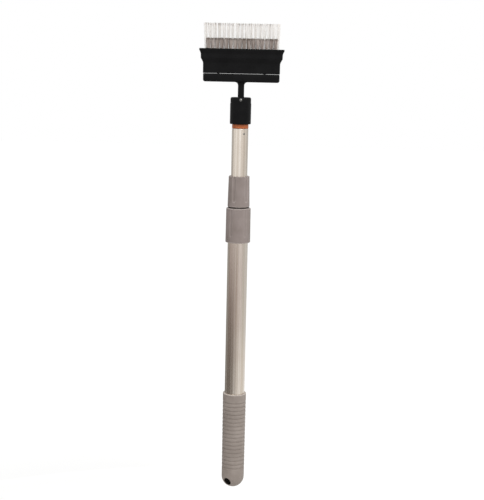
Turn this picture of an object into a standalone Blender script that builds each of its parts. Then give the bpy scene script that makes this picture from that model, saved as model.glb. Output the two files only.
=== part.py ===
"""Coil cleaning brush on a telescopic pole.

Three aluminium tubes slide in each other and are held by two twist lock collars. The thick tube wears
a ribbed grip with a hang hole. The thin tube ends in a forked socket, on which a flat brush head with
long and short bristles tilts.

Everything is in metres. +Z runs up the pole, X is the brush's width and -Y is its front. The origin is
on the pole's axis, in the middle of the ribs that the hand holds.
"""

import math
import random

import bmesh
import bpy
from mathutils import Euler, Matrix

# Fits
SEAT_GAP = 0.0003
SLIDE_CLEARANCE = 0.00025
OVERRUN = 0.004
MERGE_WITHIN = 0.000001

# Facets
ROUND_SEGMENTS = 30
GRIP_SEGMENTS = 24
SMALL_SEGMENTS = 16
ARC_STEPS = 4
SMOOTH_ANGLE = math.radians(35)

# Tubes
OUTER_TUBE_DIAMETER = 0.025
TUBE_WALL = 0.001
OUTER_TUBE_LENGTH = 0.3268
INNER_TUBE_LENGTH = 0.341
INNER_TUBE_SHOWN = 0.058
MIDDLE_GUIDE_ROOM = 0.0199

# Grip, measured up from the bottom of its dome
GRIP_LENGTH = 0.1244
GRIP_END_WALL = 0.0014
GRIP_TAPER = 0.00045
GRIP_RIM_ROUND = 0.0006
GRIP_HAND_HEIGHT = 0.07
GROOVE_PITCH = 0.00505
GROOVE_WIDTH = 0.0018
GROOVE_DEPTH = 0.0006
TOP_BAND_HEIGHT = 0.0114
LOWEST_GROOVE_HEIGHT = 0.0265
HANG_HOLE_DIAMETER = 0.01
HANG_HOLE_HEIGHT = 0.0093
HANG_HOLE_WEB = 0.0035
HANG_HOLE_TURN = math.radians(-33)

# Guide rings at the tubes' lower ends
GUIDE_FLANGE = 0.0025
GUIDE_STEM_LENGTH = 0.008
GUIDE_WALL = 0.0022

# Twist locks
LOWER_COLLAR_LENGTH = 0.0427
LOWER_COLLAR_COVER = 0.0275
LOWER_COLLAR_WALL = 0.00135
LOWER_COLLAR_TAPER = 0.0003
LOWER_COLLAR_CHAMFER = 0.0011
LOWER_SLEEVE_WALL = 0.0009
LOWER_COLLET_LENGTH = 0.009
LOWER_COLLET_TAPER = 0.0008
LOWER_FLUTE_DEPTH = 0.0005
LOWER_FLUTE_TURN = math.radians(-36)
UPPER_COLLAR_LENGTH = 0.0376
UPPER_COLLAR_COVER = 0.013
UPPER_COLLAR_WALL = 0.001
UPPER_COLLAR_TAPER = 0.0008
UPPER_COLLAR_CHAMFER = 0.0006
UPPER_SLEEVE_WALL = 0.0007
UPPER_SLEEVE_FLANGE = 0.001
UPPER_SLEEVE_FLANGE_INSET = 0.0006
UPPER_COLLET_LENGTH = 0.01
UPPER_COLLET_TAPER = 0.0006
UPPER_FLUTE_DEPTH = 0.00035
UPPER_FLUTE_TURN = math.radians(-27)
SLEEVE_RECESS = 0.001
COLLAR_MOUTH_CLEARANCE = 0.00075
COLLET_STEP = 0.0003
COLLET_SLIT = 0.0009
COLLET_SPLIT = 0.0018
COLLET_SLIT_SHARE = 0.7
FLUTE_COUNT = 5
FLUTE_TOOL_RADIUS = 0.009
FLUTE_FOOT_SHARE = 0.23
FLUTE_TOP_SHARE = 0.93

# Threaded tip and its rivets
TIP_PLUG_LENGTH = 0.025
TIP_FLANGE_HEIGHT = 0.0048
TIP_STUD_DIAMETER = 0.013
TIP_STUD_LENGTH = 0.016
TIP_CHAMFER = 0.0006
TIP_RIVET_DROP = 0.0061
TIP_RIVET_DIAMETER = 0.002
TIP_RIVET_DEPTH = 0.004
TIP_RIVET_HEAD_DIAMETER = 0.003
TIP_RIVET_HEAD_HEIGHT = 0.0004
TIP_RIVET_HEAD_GAP = 0.00015
TIP_RIVET_TURN = math.radians(29)

# Forked socket and pivot rivet
SOCKET_DIAMETER = 0.0256
SOCKET_LENGTH = 0.0322
SOCKET_TOP_ROUND = 0.0018
SOCKET_FOOT_ROUND = 0.0008
PIVOT_DROP = 0.003
PIVOT_DIAMETER = 0.0024
PIVOT_HEAD_DIAMETER = 0.0033
PIVOT_HEAD_HEIGHT = 0.0009
PIVOT_HEAD_CHAMFER = 0.0003
PIVOT_HEAD_PROUD = 0.0002
SLOT_SIDE_CLEARANCE = 0.0003
SLOT_FLOOR_CLEARANCE = 0.0005

# Stalk and base of the brush head
STALK_WIDTH = 0.0076
STALK_DEPTH = 0.005
STALK_LENGTH = 0.0211
STALK_FILLET = 0.0035
BASE_HEIGHT = 0.0098
BASE_END_INSET = 0.0003
BASE_LEDGE = 0.0015
BASE_CORNER = 0.003
BASE_FOOT_ROUND = 0.0026
BASE_TOP_ROUND = 0.001

# Bristle holder
HOLDER_HEIGHT = 0.0294
HOLDER_WALL = 0.0016
HOLDER_FLOOR = 0.002
HOLDER_CORNER = 0.0026
FLARE_HEIGHT = 0.0176
FLARE_REACH = 0.0048
FLARE_FRONT_SHARE = 0.6
# Points up the flare: share of its height above its foot, and share of its reach
FLARE_SHARES = ((0, 0), (0.1, 0.12), (0.34, 0.57), (0.6, 0.61), (0.68, 0.67), (0.89, 1), (1, 1))

# Tuft block and its screws
BLOCK_HEIGHT = 0.01
BLOCK_END_MARGIN = 0.0021
SCREW_PLACE = 0.028
SCREW_DIAMETER = 0.0029
SCREW_GRIP = 0.007
SCREW_HEAD_DIAMETER = 0.0052
SCREW_HEAD_HEIGHT = 0.0018
SCREW_HEAD_RECESS = 0.0022
SCREW_SLOT_WIDTH = 0.0008
SCREW_SLOT_DEPTH = 0.0008

# Bristles: the long row has the middle strip, and a short row stands on each side of it
TUFT_PITCH = 0.0053
ROW_PITCH = 0.00307
STRIP_THICKNESS = 0.002
LONG_TUFT_COUNT = 17
LONG_LENGTH = 0.0455
LONG_COLUMN_COUNT = 3
LONG_CELL = 0.00075
LONG_STRAND = 0.0005
LONG_SPREAD = 0.00113
SHORT_TUFT_COUNT = 16
SHORT_LENGTH = 0.0278
SHORT_COLUMN_COUNT = 4
SHORT_CELL = 0.0008
SHORT_STRAND = 0.00055
SHORT_SPREAD = 0.00132
SHORT_LEAN = 0.0009
STRAND_ROW_COUNT = 2
FAN_SHARE = 0.045
TIP_JITTER = 0.0001
LENGTH_JITTER = 0.0004
BRISTLE_SEED = 7

# Radii of the tubes and the grip
OUTER_RADIUS = OUTER_TUBE_DIAMETER / 2
MIDDLE_RADIUS = OUTER_RADIUS - TUBE_WALL - SLIDE_CLEARANCE
INNER_RADIUS = MIDDLE_RADIUS - TUBE_WALL - SLIDE_CLEARANCE
GRIP_BORE = OUTER_RADIUS + SEAT_GAP
GRIP_END_RADIUS = GRIP_BORE + GRIP_END_WALL

# Grooves that fit between the grip's plain bands
GROOVE_COUNT = 1 + int((GRIP_LENGTH - TOP_BAND_HEIGHT - LOWEST_GROOVE_HEIGHT) / GROOVE_PITCH)

# Heights up the pole at rest, from the bottom of the grip's dome
GRIP_FLOOR = HANG_HOLE_HEIGHT + HANG_HOLE_DIAMETER / 2 + HANG_HOLE_WEB
OUTER_TUBE_FOOT = GRIP_FLOOR + SEAT_GAP
OUTER_TUBE_END = OUTER_TUBE_FOOT + OUTER_TUBE_LENGTH
LOWER_COLLAR_FOOT = OUTER_TUBE_END - LOWER_COLLAR_COVER
LOWER_COLLAR_TOP = LOWER_COLLAR_FOOT + LOWER_COLLAR_LENGTH
UPPER_SLEEVE_DROP = UPPER_COLLAR_COVER + SEAT_GAP + UPPER_SLEEVE_FLANGE
MIDDLE_TUBE_END = LOWER_COLLAR_TOP + SEAT_GAP + UPPER_SLEEVE_DROP
MIDDLE_TUBE_FOOT = GRIP_FLOOR + MIDDLE_GUIDE_ROOM + GUIDE_FLANGE + SEAT_GAP
MIDDLE_TUBE_LENGTH = MIDDLE_TUBE_END - MIDDLE_TUBE_FOOT
UPPER_COLLAR_FOOT = MIDDLE_TUBE_END - UPPER_COLLAR_COVER
UPPER_COLLAR_TOP = UPPER_COLLAR_FOOT + UPPER_COLLAR_LENGTH
INNER_TUBE_END = UPPER_COLLAR_TOP + INNER_TUBE_SHOWN
INNER_TUBE_FOOT = INNER_TUBE_END - INNER_TUBE_LENGTH
TIP_FLANGE_FOOT = INNER_TUBE_END + SEAT_GAP
SOCKET_FOOT = TIP_FLANGE_FOOT + TIP_FLANGE_HEIGHT + SEAT_GAP
PIVOT_HEIGHT = SOCKET_FOOT + SOCKET_LENGTH - PIVOT_DROP

# Heights in the brush head, from the pivot
BASE_TOP = STALK_LENGTH + BASE_HEIGHT
HOLDER_FOOT = BASE_TOP + SEAT_GAP
BLOCK_FOOT = HOLDER_FOOT + HOLDER_FLOOR + SEAT_GAP
STRIP_FOOT = BLOCK_FOOT + BLOCK_HEIGHT + SEAT_GAP

# Half widths in the brush head
BLOCK_HALF_X = (LONG_TUFT_COUNT - 1) * TUFT_PITCH / 2 + BLOCK_END_MARGIN
BLOCK_HALF_Y = ROW_PITCH * 3 / 2
HOLDER_HALF_X = BLOCK_HALF_X + SEAT_GAP + HOLDER_WALL
HOLDER_HALF_Y = BLOCK_HALF_Y + SEAT_GAP + HOLDER_WALL
BLOCK_CORNER = HOLDER_CORNER - HOLDER_WALL - SEAT_GAP


def linear(channel):
    """One sRGB channel, from 0 to 1, as linear light."""
    return channel / 12.92 if channel <= 0.04045 else ((channel + 0.055) / 1.055) ** 2.4


def material(name, colour, roughness, metallic=0.0, alpha=1.0):
    """A plain material. The colour is an sRGB hex value."""
    made = bpy.data.materials.new(name)
    made.use_nodes = True
    shader = made.node_tree.nodes["Principled BSDF"]
    channels = [linear(int(colour[i : i + 2], 16) / 255) for i in (1, 3, 5)]
    shader.inputs["Base Color"].default_value = (*channels, 1.0)
    shader.inputs["Roughness"].default_value = roughness
    shader.inputs["Metallic"].default_value = metallic
    shader.inputs["Alpha"].default_value = alpha
    made.diffuse_color = (*channels, alpha)
    return made


def axis_empty(name, parent, height):
    """An empty on the pole's axis, which carries the pieces that move together."""
    empty = bpy.data.objects.new(name, None)
    empty.empty_display_size = OUTER_TUBE_DIAMETER
    bpy.context.scene.collection.objects.link(empty)
    empty.parent = parent
    empty.location = (0, 0, height)
    return empty


def add_object(name, bm, finish, parent, location=(0, 0, 0), rotation=(0, 0, 0)):
    """Makes a named object of a bmesh, with faces out, smooth shading and one material."""
    bmesh.ops.remove_doubles(bm, verts=bm.verts, dist=MERGE_WITHIN)
    bmesh.ops.recalc_face_normals(bm, faces=bm.faces)
    mesh = bpy.data.meshes.new(name)
    bm.to_mesh(mesh)
    bm.free()
    if finish:
        mesh.materials.append(finish)
    mesh.shade_smooth()
    mesh.set_sharp_from_angle(angle=SMOOTH_ANGLE)
    obj = bpy.data.objects.new(name, mesh)
    bpy.context.scene.collection.objects.link(obj)
    obj.parent = parent
    obj.location = location
    obj.rotation_euler = rotation
    return obj


def combine(obj, name, bm, operation="DIFFERENCE", location=(0, 0, 0), rotation=(0, 0, 0)):
    """Cuts a helper shape from an object, or joins it on. The helper has the object's parent."""
    helper = add_object(name, bm, None, obj.parent, location, rotation)
    helper.hide_render = True
    helper.display_type = "WIRE"
    boolean = obj.modifiers.new(name, "BOOLEAN")
    boolean.operation = operation
    boolean.object = helper
    boolean.solver = "EXACT"


def turned(outline, closed=True, segments=ROUND_SEGMENTS):
    """Turns (radius, height) points round the Z axis. An open outline starts and ends on the axis."""
    bm = bmesh.new()
    points = [bm.verts.new((radius, 0, height)) for radius, height in outline]
    ends = points[1:] + points[:1] if closed else points[1:]
    edges = [bm.edges.new(pair) for pair in zip(points, ends)]
    bmesh.ops.spin(bm, geom=points + edges, axis=(0, 0, 1), angle=math.tau, steps=segments)
    bmesh.ops.remove_doubles(bm, verts=bm.verts, dist=MERGE_WITHIN)
    return bm


def ring(inner, outer, foot, top):
    """Outline of a plain ring or tube."""
    return [(inner, foot), (outer, foot), (outer, top), (inner, top)]


def rod(radius, foot, top, segments=SMALL_SEGMENTS):
    """A plain round bar along Z."""
    return turned([(0, foot), (radius, foot), (radius, top), (0, top)], closed=False, segments=segments)


def block(size_x, size_y, foot, top):
    """A plain box along Z, centred on it."""
    bm = bmesh.new()
    middle = Matrix.Translation((0, 0, (foot + top) / 2))
    bmesh.ops.create_cube(bm, size=1, matrix=middle @ Matrix.Diagonal((size_x, size_y, top - foot, 1)))
    return bm


def arc(centre, radius, start, end, steps=ARC_STEPS):
    """Points of an arc about a centre, with angles in degrees."""
    angles = [math.radians(start + (end - start) * i / steps) for i in range(steps + 1)]
    return [(centre[0] + radius * math.cos(a), centre[1] + radius * math.sin(a)) for a in angles]


def rounded_loop(half_x, half_y, corner, height):
    """Points round a rectangle with round corners, at one height."""
    points = []
    for turn, (side_x, side_y) in enumerate(((1, 1), (-1, 1), (-1, -1), (1, -1))):
        centre = (side_x * (half_x - corner), side_y * (half_y - corner))
        points += arc(centre, corner, turn * 90, turn * 90 + 90)
    return [(x, y, height) for x, y in points]


def lofted(loops):
    """Skins loops of as many points each, in order, and closes the first and the last."""
    bm = bmesh.new()
    rows = [[bm.verts.new(point) for point in loop] for loop in loops]
    for lower, upper in zip(rows, rows[1:]):
        for i in range(len(lower)):
            j = (i + 1) % len(lower)
            bm.faces.new((lower[i], lower[j], upper[j], upper[i]))
    bm.faces.new(rows[0])
    bm.faces.new(rows[-1])
    return bm


def grip_radius(height):
    """Outer radius of the grip, which narrows a little from its rim to its dome."""
    return GRIP_END_RADIUS + GRIP_TAPER * (height - GRIP_END_RADIUS) / (GRIP_LENGTH - GRIP_END_RADIUS)


def make_grip(parent, finish):
    """The grip, from the bottom of its dome up to its rim and down its bore."""
    outline = arc((0, GRIP_END_RADIUS), GRIP_END_RADIUS, -90, 0, steps=2 * ARC_STEPS)
    for groove in reversed(range(GROOVE_COUNT)):
        height = GRIP_LENGTH - TOP_BAND_HEIGHT - groove * GROOVE_PITCH
        foot = height - GROOVE_WIDTH / 2
        top = height + GROOVE_WIDTH / 2
        outline.append((grip_radius(foot), foot))
        outline.append((grip_radius(height) - GROOVE_DEPTH, height))
        outline.append((grip_radius(top), top))
    rim = grip_radius(GRIP_LENGTH)
    outline += arc((rim - GRIP_RIM_ROUND, GRIP_LENGTH - GRIP_RIM_ROUND), GRIP_RIM_ROUND, 0, 90, steps=2)
    outline += [(GRIP_BORE, GRIP_LENGTH), (GRIP_BORE, GRIP_FLOOR), (0, GRIP_FLOOR)]
    grip = add_object("grip", turned(outline, closed=False, segments=GRIP_SEGMENTS), finish, parent)
    reach = rim + OVERRUN
    hole = rod(HANG_HOLE_DIAMETER / 2, -reach, reach, segments=2 * SMALL_SEGMENTS)
    turn = Euler((math.radians(90), 0, HANG_HOLE_TURN))
    combine(grip, "hang_hole_cutter", hole, location=(0, 0, HANG_HOLE_HEIGHT), rotation=turn)


def make_tube(name, radius, length, parent, finish, foot):
    outline = ring(radius - TUBE_WALL, radius, 0, length)
    return add_object(name, turned(outline), finish, parent, location=(0, 0, foot))


def make_guide(name, tube_radius, parent, finish):
    """A ring on the lower end of a tube: its flange runs in the next tube, and its stem sits in its own."""
    stem = tube_radius - TUBE_WALL - SEAT_GAP
    bore = stem - GUIDE_WALL
    foot = -SEAT_GAP - GUIDE_FLANGE
    outline = [(bore, foot), (tube_radius, foot), (tube_radius, -SEAT_GAP), (stem, -SEAT_GAP)]
    outline += [(stem, GUIDE_STEM_LENGTH), (bore, GUIDE_STEM_LENGTH)]
    add_object(name, turned(outline), finish, parent)


def make_collet(name, inner, foot_radius, top_radius, length, parent, finish, foot):
    """A split ring with slits, which the collar's cone presses on the tube inside it."""
    outline = [(inner, 0), (foot_radius, 0), (top_radius, length), (inner, length)]
    collet = add_object(name, turned(outline), finish, parent, location=(0, 0, foot))
    reach = foot_radius + OVERRUN
    slit_foot = length * (1 - COLLET_SLIT_SHARE)
    quarter = math.radians(90)
    for side in (0, 1):
        slit = block(2 * reach, COLLET_SLIT, slit_foot, length + OVERRUN)
        turn = (0, 0, side * quarter + quarter / 2)
        combine(collet, f"{name}_slit_cutter_{side + 1}", slit, location=(0, 0, foot), rotation=turn)
    split = block(reach, COLLET_SPLIT, -OVERRUN, length + OVERRUN)
    bmesh.ops.translate(split, verts=split.verts, vec=(reach / 2, 0, 0))
    combine(collet, f"{name}_split_cutter", split, location=(0, 0, foot), rotation=(0, 0, quarter))


def flute_cutters(length, foot_radius, taper, depth, turn):
    """Long round-ended tools round a collar, leaned as its side leans, which cut its finger flutes."""
    half = length * (FLUTE_TOP_SHARE - FLUTE_FOOT_SHARE) / 2
    lean = math.atan2(taper, length)
    middle_share = (FLUTE_FOOT_SHARE + FLUTE_TOP_SHARE) / 2
    reach = foot_radius - taper * middle_share + FLUTE_TOOL_RADIUS - depth
    outline = arc((0, -half), FLUTE_TOOL_RADIUS, -90, 0, steps=3 * ARC_STEPS)
    outline += arc((0, half), FLUTE_TOOL_RADIUS, 0, 90, steps=3 * ARC_STEPS)
    tools = bmesh.new()
    for flute in range(FLUTE_COUNT):
        tool = turned(outline, closed=False, segments=3 * SMALL_SEGMENTS)
        angle = turn - math.radians(90) + math.tau * flute / FLUTE_COUNT
        place = Matrix.Rotation(angle, 4, "Z") @ Matrix.Translation((reach, 0, length * middle_share))
        bmesh.ops.transform(tool, verts=tool.verts, matrix=place @ Matrix.Rotation(-lean, 4, "Y"))
        one = bpy.data.meshes.new("flute_tool")
        tool.to_mesh(one)
        tool.free()
        tools.from_mesh(one)
        bpy.data.meshes.remove(one)
    return tools


def make_collar(name, lock, parent, finish):
    """A twist lock collar. Its foot has the bore for the sleeve, and a cone above it closes the collet."""
    bore = lock["sleeve_radius"] + SEAT_GAP
    foot_radius = bore + lock["wall"]
    top_radius = foot_radius - lock["taper"]
    length = lock["length"]
    chamfer = lock["chamfer"]
    cone_foot = lock["cover"] + SEAT_GAP
    cone_top = cone_foot + lock["collet_length"] + SEAT_GAP
    outline = [(bore, 0), (foot_radius - chamfer / 2, 0), (foot_radius, chamfer / 2)]
    outline += [(top_radius, length - chamfer), (top_radius - chamfer, length), (lock["mouth"], length)]
    outline += [(lock["mouth"], cone_top), (lock["collet_top"] + SEAT_GAP, cone_top)]
    outline += [(lock["collet_foot"] + SEAT_GAP, cone_foot), (bore, cone_foot)]
    collar = add_object(name, turned(outline), finish, parent)
    flutes = flute_cutters(length, foot_radius, lock["taper"], lock["flute_depth"], lock["flute_turn"])
    combine(collar, f"{name}_flute_cutter", flutes)


def lock_sizes(tube_radius, passing_radius, sleeve_wall, collet_taper):
    """Radii of a twist lock, from the tube that carries it and the tube that passes through it."""
    sleeve = tube_radius + SEAT_GAP + sleeve_wall
    return {
        "sleeve_radius": sleeve,
        "collet_inner": passing_radius + SEAT_GAP,
        "collet_foot": sleeve - COLLET_STEP,
        "collet_top": sleeve - COLLET_STEP - collet_taper,
        "mouth": passing_radius + COLLAR_MOUTH_CLEARANCE,
    }


def make_lower_lock(pole, collar_axis, grey, dark):
    lock = lock_sizes(OUTER_RADIUS, MIDDLE_RADIUS, LOWER_SLEEVE_WALL, LOWER_COLLET_TAPER)
    lock.update(length=LOWER_COLLAR_LENGTH, cover=LOWER_COLLAR_COVER, wall=LOWER_COLLAR_WALL)
    lock.update(taper=LOWER_COLLAR_TAPER, chamfer=LOWER_COLLAR_CHAMFER, collet_length=LOWER_COLLET_LENGTH)
    lock.update(flute_depth=LOWER_FLUTE_DEPTH, flute_turn=LOWER_FLUTE_TURN)
    sleeve = ring(OUTER_RADIUS + SEAT_GAP, lock["sleeve_radius"], SLEEVE_RECESS - LOWER_COLLAR_COVER, 0)
    add_object("lower_thread_sleeve", turned(sleeve), dark, pole, location=(0, 0, OUTER_TUBE_END))
    collet = (lock["collet_inner"], lock["collet_foot"], lock["collet_top"], LOWER_COLLET_LENGTH)
    make_collet("lower_collet", *collet, pole, dark, OUTER_TUBE_END + SEAT_GAP)
    make_collar("lower_lock_collar", lock, collar_axis, grey)


def make_upper_lock(section, collar_axis, grey, dark):
    lock = lock_sizes(MIDDLE_RADIUS, INNER_RADIUS, UPPER_SLEEVE_WALL, UPPER_COLLET_TAPER)
    lock.update(length=UPPER_COLLAR_LENGTH, cover=UPPER_COLLAR_COVER, wall=UPPER_COLLAR_WALL)
    lock.update(taper=UPPER_COLLAR_TAPER, chamfer=UPPER_COLLAR_CHAMFER, collet_length=UPPER_COLLET_LENGTH)
    lock.update(flute_depth=UPPER_FLUTE_DEPTH, flute_turn=UPPER_FLUTE_TURN)
    bore = MIDDLE_RADIUS + SEAT_GAP
    flange = lock["sleeve_radius"] + SEAT_GAP + UPPER_COLLAR_WALL - UPPER_SLEEVE_FLANGE_INSET
    flange_top = UPPER_SLEEVE_FLANGE - UPPER_SLEEVE_DROP
    outline = [(bore, -UPPER_SLEEVE_DROP), (flange, -UPPER_SLEEVE_DROP), (flange, flange_top)]
    outline += [(lock["sleeve_radius"], flange_top), (lock["sleeve_radius"], 0), (bore, 0)]
    add_object("upper_thread_sleeve", turned(outline), dark, section, location=(0, 0, MIDDLE_TUBE_LENGTH))
    collet = (lock["collet_inner"], lock["collet_foot"], lock["collet_top"], UPPER_COLLET_LENGTH)
    make_collet("upper_collet", *collet, section, dark, MIDDLE_TUBE_LENGTH + SEAT_GAP)
    make_collar("upper_lock_collar", lock, collar_axis, grey)


def tip_rivet():
    """A rivet with its shank's end at zero and a low head that stands on the tube's outside."""
    shank = TIP_RIVET_DIAMETER / 2
    head = TIP_RIVET_HEAD_DIAMETER / 2
    under = TIP_RIVET_DEPTH + TIP_RIVET_HEAD_GAP
    top = TIP_RIVET_DEPTH + TIP_RIVET_HEAD_HEIGHT
    outline = [(0, 0), (shank, 0), (shank, under), (head, under), (shank, top), (0, top)]
    return turned(outline, closed=False, segments=SMALL_SEGMENTS)


def make_inner_tube(section, aluminium, orange, steel):
    """The thin tube, the orange tip pressed in its end, and the two rivets that hold the tip."""
    tube = make_tube("inner_tube", INNER_RADIUS, INNER_TUBE_LENGTH, section, aluminium, 0)
    plug = INNER_RADIUS - TUBE_WALL - SEAT_GAP
    stud = TIP_STUD_DIAMETER / 2
    flange_top = SEAT_GAP + TIP_FLANGE_HEIGHT
    stud_top = flange_top + TIP_STUD_LENGTH
    outline = [(0, -TIP_PLUG_LENGTH), (plug - TIP_CHAMFER, -TIP_PLUG_LENGTH)]
    outline += [(plug, TIP_CHAMFER - TIP_PLUG_LENGTH), (plug, SEAT_GAP), (INNER_RADIUS, SEAT_GAP)]
    outline += [(INNER_RADIUS, flange_top), (stud, flange_top)]
    outline += [(stud, stud_top - TIP_CHAMFER), (stud - TIP_CHAMFER, stud_top), (0, stud_top)]
    end = (0, 0, INNER_TUBE_LENGTH)
    tip = add_object("threaded_tip", turned(outline, closed=False), orange, section, location=end)
    height = INNER_TUBE_LENGTH - TIP_RIVET_DROP
    hole_radius = TIP_RIVET_DIAMETER / 2 + SEAT_GAP
    foot = INNER_RADIUS - TIP_RIVET_DEPTH
    for side, name in enumerate(("tip_rivet_front", "tip_rivet_back")):
        turn = TIP_RIVET_TURN + side * math.pi
        place = (foot * math.sin(turn), -foot * math.cos(turn), height)
        rotation = (math.radians(90), 0, turn)
        for piece in (tube, tip):
            hole = rod(hole_radius, -SEAT_GAP, TIP_RIVET_DEPTH + OVERRUN)
            combine(piece, f"{name}_{piece.name}_cutter", hole, location=place, rotation=rotation)
        add_object(name, tip_rivet(), steel, section, location=place, rotation=rotation)


def make_socket(section, black, steel):
    """The socket screwed on the tip, with a fork for the stalk at its top, and the stalk's pivot rivet."""
    radius = SOCKET_DIAMETER / 2
    bore = TIP_STUD_DIAMETER / 2 + SEAT_GAP
    outline = [(0, TIP_STUD_LENGTH), (bore, TIP_STUD_LENGTH), (bore, 0)]
    outline += arc((radius - SOCKET_FOOT_ROUND, SOCKET_FOOT_ROUND), SOCKET_FOOT_ROUND, -90, 0, steps=2)
    outline += arc((radius - SOCKET_TOP_ROUND, SOCKET_LENGTH - SOCKET_TOP_ROUND), SOCKET_TOP_ROUND, 0, 90)
    outline.append((0, SOCKET_LENGTH))
    foot = INNER_TUBE_LENGTH + SOCKET_FOOT - INNER_TUBE_END
    body = turned(outline, closed=False)
    socket = add_object("fork_socket", body, black, section, location=(0, 0, foot))
    pivot = foot + SOCKET_LENGTH - PIVOT_DROP
    slot_foot = -STALK_WIDTH / 2 - SLOT_FLOOR_CLEARANCE
    slot_width = STALK_DEPTH + 2 * SLOT_SIDE_CLEARANCE
    slot = block(SOCKET_DIAMETER + OVERRUN, slot_width, slot_foot, PIVOT_DROP + OVERRUN)
    combine(socket, "fork_slot_cutter", slot, location=(0, 0, pivot))
    across = (math.radians(90), 0, 0)
    head_top = radius + PIVOT_HEAD_PROUD
    seat = head_top - PIVOT_HEAD_HEIGHT
    hole = rod(PIVOT_DIAMETER / 2 + SEAT_GAP, -radius - OVERRUN, radius + OVERRUN)
    combine(socket, "pivot_hole_cutter", hole, location=(0, 0, pivot), rotation=across)
    for side in (-1, 1):
        ends = sorted((side * (seat - SEAT_GAP), side * (radius + OVERRUN)))
        recess = rod(PIVOT_HEAD_DIAMETER / 2 + SEAT_GAP, *ends)
        combine(socket, f"pivot_recess_cutter_{side + 2}", recess, location=(0, 0, pivot), rotation=across)
    shank = PIVOT_DIAMETER / 2
    head = PIVOT_HEAD_DIAMETER / 2
    half = [(shank, seat), (head, seat), (head, head_top - PIVOT_HEAD_CHAMFER)]
    half += [(head - PIVOT_HEAD_CHAMFER, head_top), (0, head_top)]
    outline = [(r, -z) for r, z in reversed(half)] + half
    rivet = turned(outline, closed=False, segments=SMALL_SEGMENTS)
    add_object("pivot_rivet", rivet, steel, section, location=(0, 0, pivot), rotation=across)


def stalk_plate():
    """The flat stalk, from its round end on the pivot to the fillets in the base's underside."""
    half = STALK_WIDTH / 2
    side = half + STALK_FILLET
    outline = arc((0, 0), half, 180, 360, steps=2 * ARC_STEPS)
    outline += reversed(arc((side, STALK_LENGTH - STALK_FILLET), STALK_FILLET, 90, 180))
    outline += [(side, STALK_LENGTH + BASE_FOOT_ROUND), (-side, STALK_LENGTH + BASE_FOOT_ROUND)]
    outline += reversed(arc((-side, STALK_LENGTH - STALK_FILLET), STALK_FILLET, 0, 90))
    bm = bmesh.new()
    face = bm.faces.new([bm.verts.new((x, -STALK_DEPTH / 2, z)) for x, z in outline])
    made = bmesh.ops.extrude_face_region(bm, geom=[face])
    moved = [item for item in made["geom"] if isinstance(item, bmesh.types.BMVert)]
    bmesh.ops.translate(bm, verts=moved, vec=(0, STALK_DEPTH, 0))
    return bm


def make_base(head, black):
    """The bar under the holder, with the stalk below it, the pivot hole and the two screw holes."""
    half_x = HOLDER_HALF_X - BASE_END_INSET
    half_y = HOLDER_HALF_Y + BASE_LEDGE
    profile = arc((-BASE_FOOT_ROUND, STALK_LENGTH + BASE_FOOT_ROUND), BASE_FOOT_ROUND, -90, 0)
    profile += arc((-BASE_TOP_ROUND, BASE_TOP - BASE_TOP_ROUND), BASE_TOP_ROUND, 0, 90, steps=3)
    loops = [rounded_loop(half_x + inset, half_y + inset, BASE_CORNER + inset, z) for inset, z in profile]
    base = add_object("brush_base", lofted(loops), black, head)
    combine(base, "stalk_plate", stalk_plate(), operation="UNION")
    reach = STALK_DEPTH / 2 + OVERRUN
    hole = rod(PIVOT_DIAMETER / 2 + SEAT_GAP, -reach, reach)
    combine(base, "stalk_hole_cutter", hole, rotation=(math.radians(90), 0, 0))
    for side in (-1, 1):
        place = (side * SCREW_PLACE, 0, STALK_LENGTH)
        shank = rod(SCREW_DIAMETER / 2 + SEAT_GAP, -OVERRUN, BASE_HEIGHT + OVERRUN)
        combine(base, f"base_screw_hole_cutter_{side + 2}", shank, location=place)
        recess = rod(SCREW_HEAD_DIAMETER / 2 + SEAT_GAP, -OVERRUN, SCREW_HEAD_RECESS)
        combine(base, f"base_screw_recess_cutter_{side + 2}", recess, location=place)


def make_holder(head, black):
    """The thin-walled holder round the tufts. It flares out to its mouth on all four sides."""
    foot = HOLDER_FOOT
    flare_foot = foot + HOLDER_HEIGHT - FLARE_HEIGHT
    outer = [(0, foot)]
    outer += [(FLARE_REACH * reach, flare_foot + FLARE_HEIGHT * rise) for rise, reach in FLARE_SHARES]
    inner = [(0, foot + HOLDER_FLOOR)] + outer[1:]
    loops = []
    for wall, outline in ((0, outer), (HOLDER_WALL, reversed(inner))):
        for flare, height in outline:
            side = flare - wall
            front = flare * FLARE_FRONT_SHARE - wall
            corner = HOLDER_CORNER + front
            loops.append(rounded_loop(HOLDER_HALF_X + side, HOLDER_HALF_Y + front, corner, height))
    holder = add_object("bristle_holder", lofted(loops), black, head)
    for side in (-1, 1):
        place = (side * SCREW_PLACE, 0, foot)
        hole = rod(SCREW_DIAMETER / 2 + SEAT_GAP, -OVERRUN, HOLDER_FLOOR + OVERRUN)
        combine(holder, f"holder_screw_hole_cutter_{side + 2}", hole, location=place)


def make_tuft_block(head, finish):
    """The bar that the tufts are set in, with the blind holes of the two screws in its underside."""
    ends = (BLOCK_FOOT, BLOCK_FOOT + BLOCK_HEIGHT)
    loops = [rounded_loop(BLOCK_HALF_X, BLOCK_HALF_Y, BLOCK_CORNER, height) for height in ends]
    tuft_block = add_object("tuft_block", lofted(loops), finish, head)
    for side in (-1, 1):
        hole = rod(SCREW_DIAMETER / 2 + SEAT_GAP, -OVERRUN, SCREW_GRIP + SEAT_GAP)
        place = (side * SCREW_PLACE, 0, BLOCK_FOOT)
        combine(tuft_block, f"block_screw_hole_cutter_{side + 2}", hole, location=place)


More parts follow.
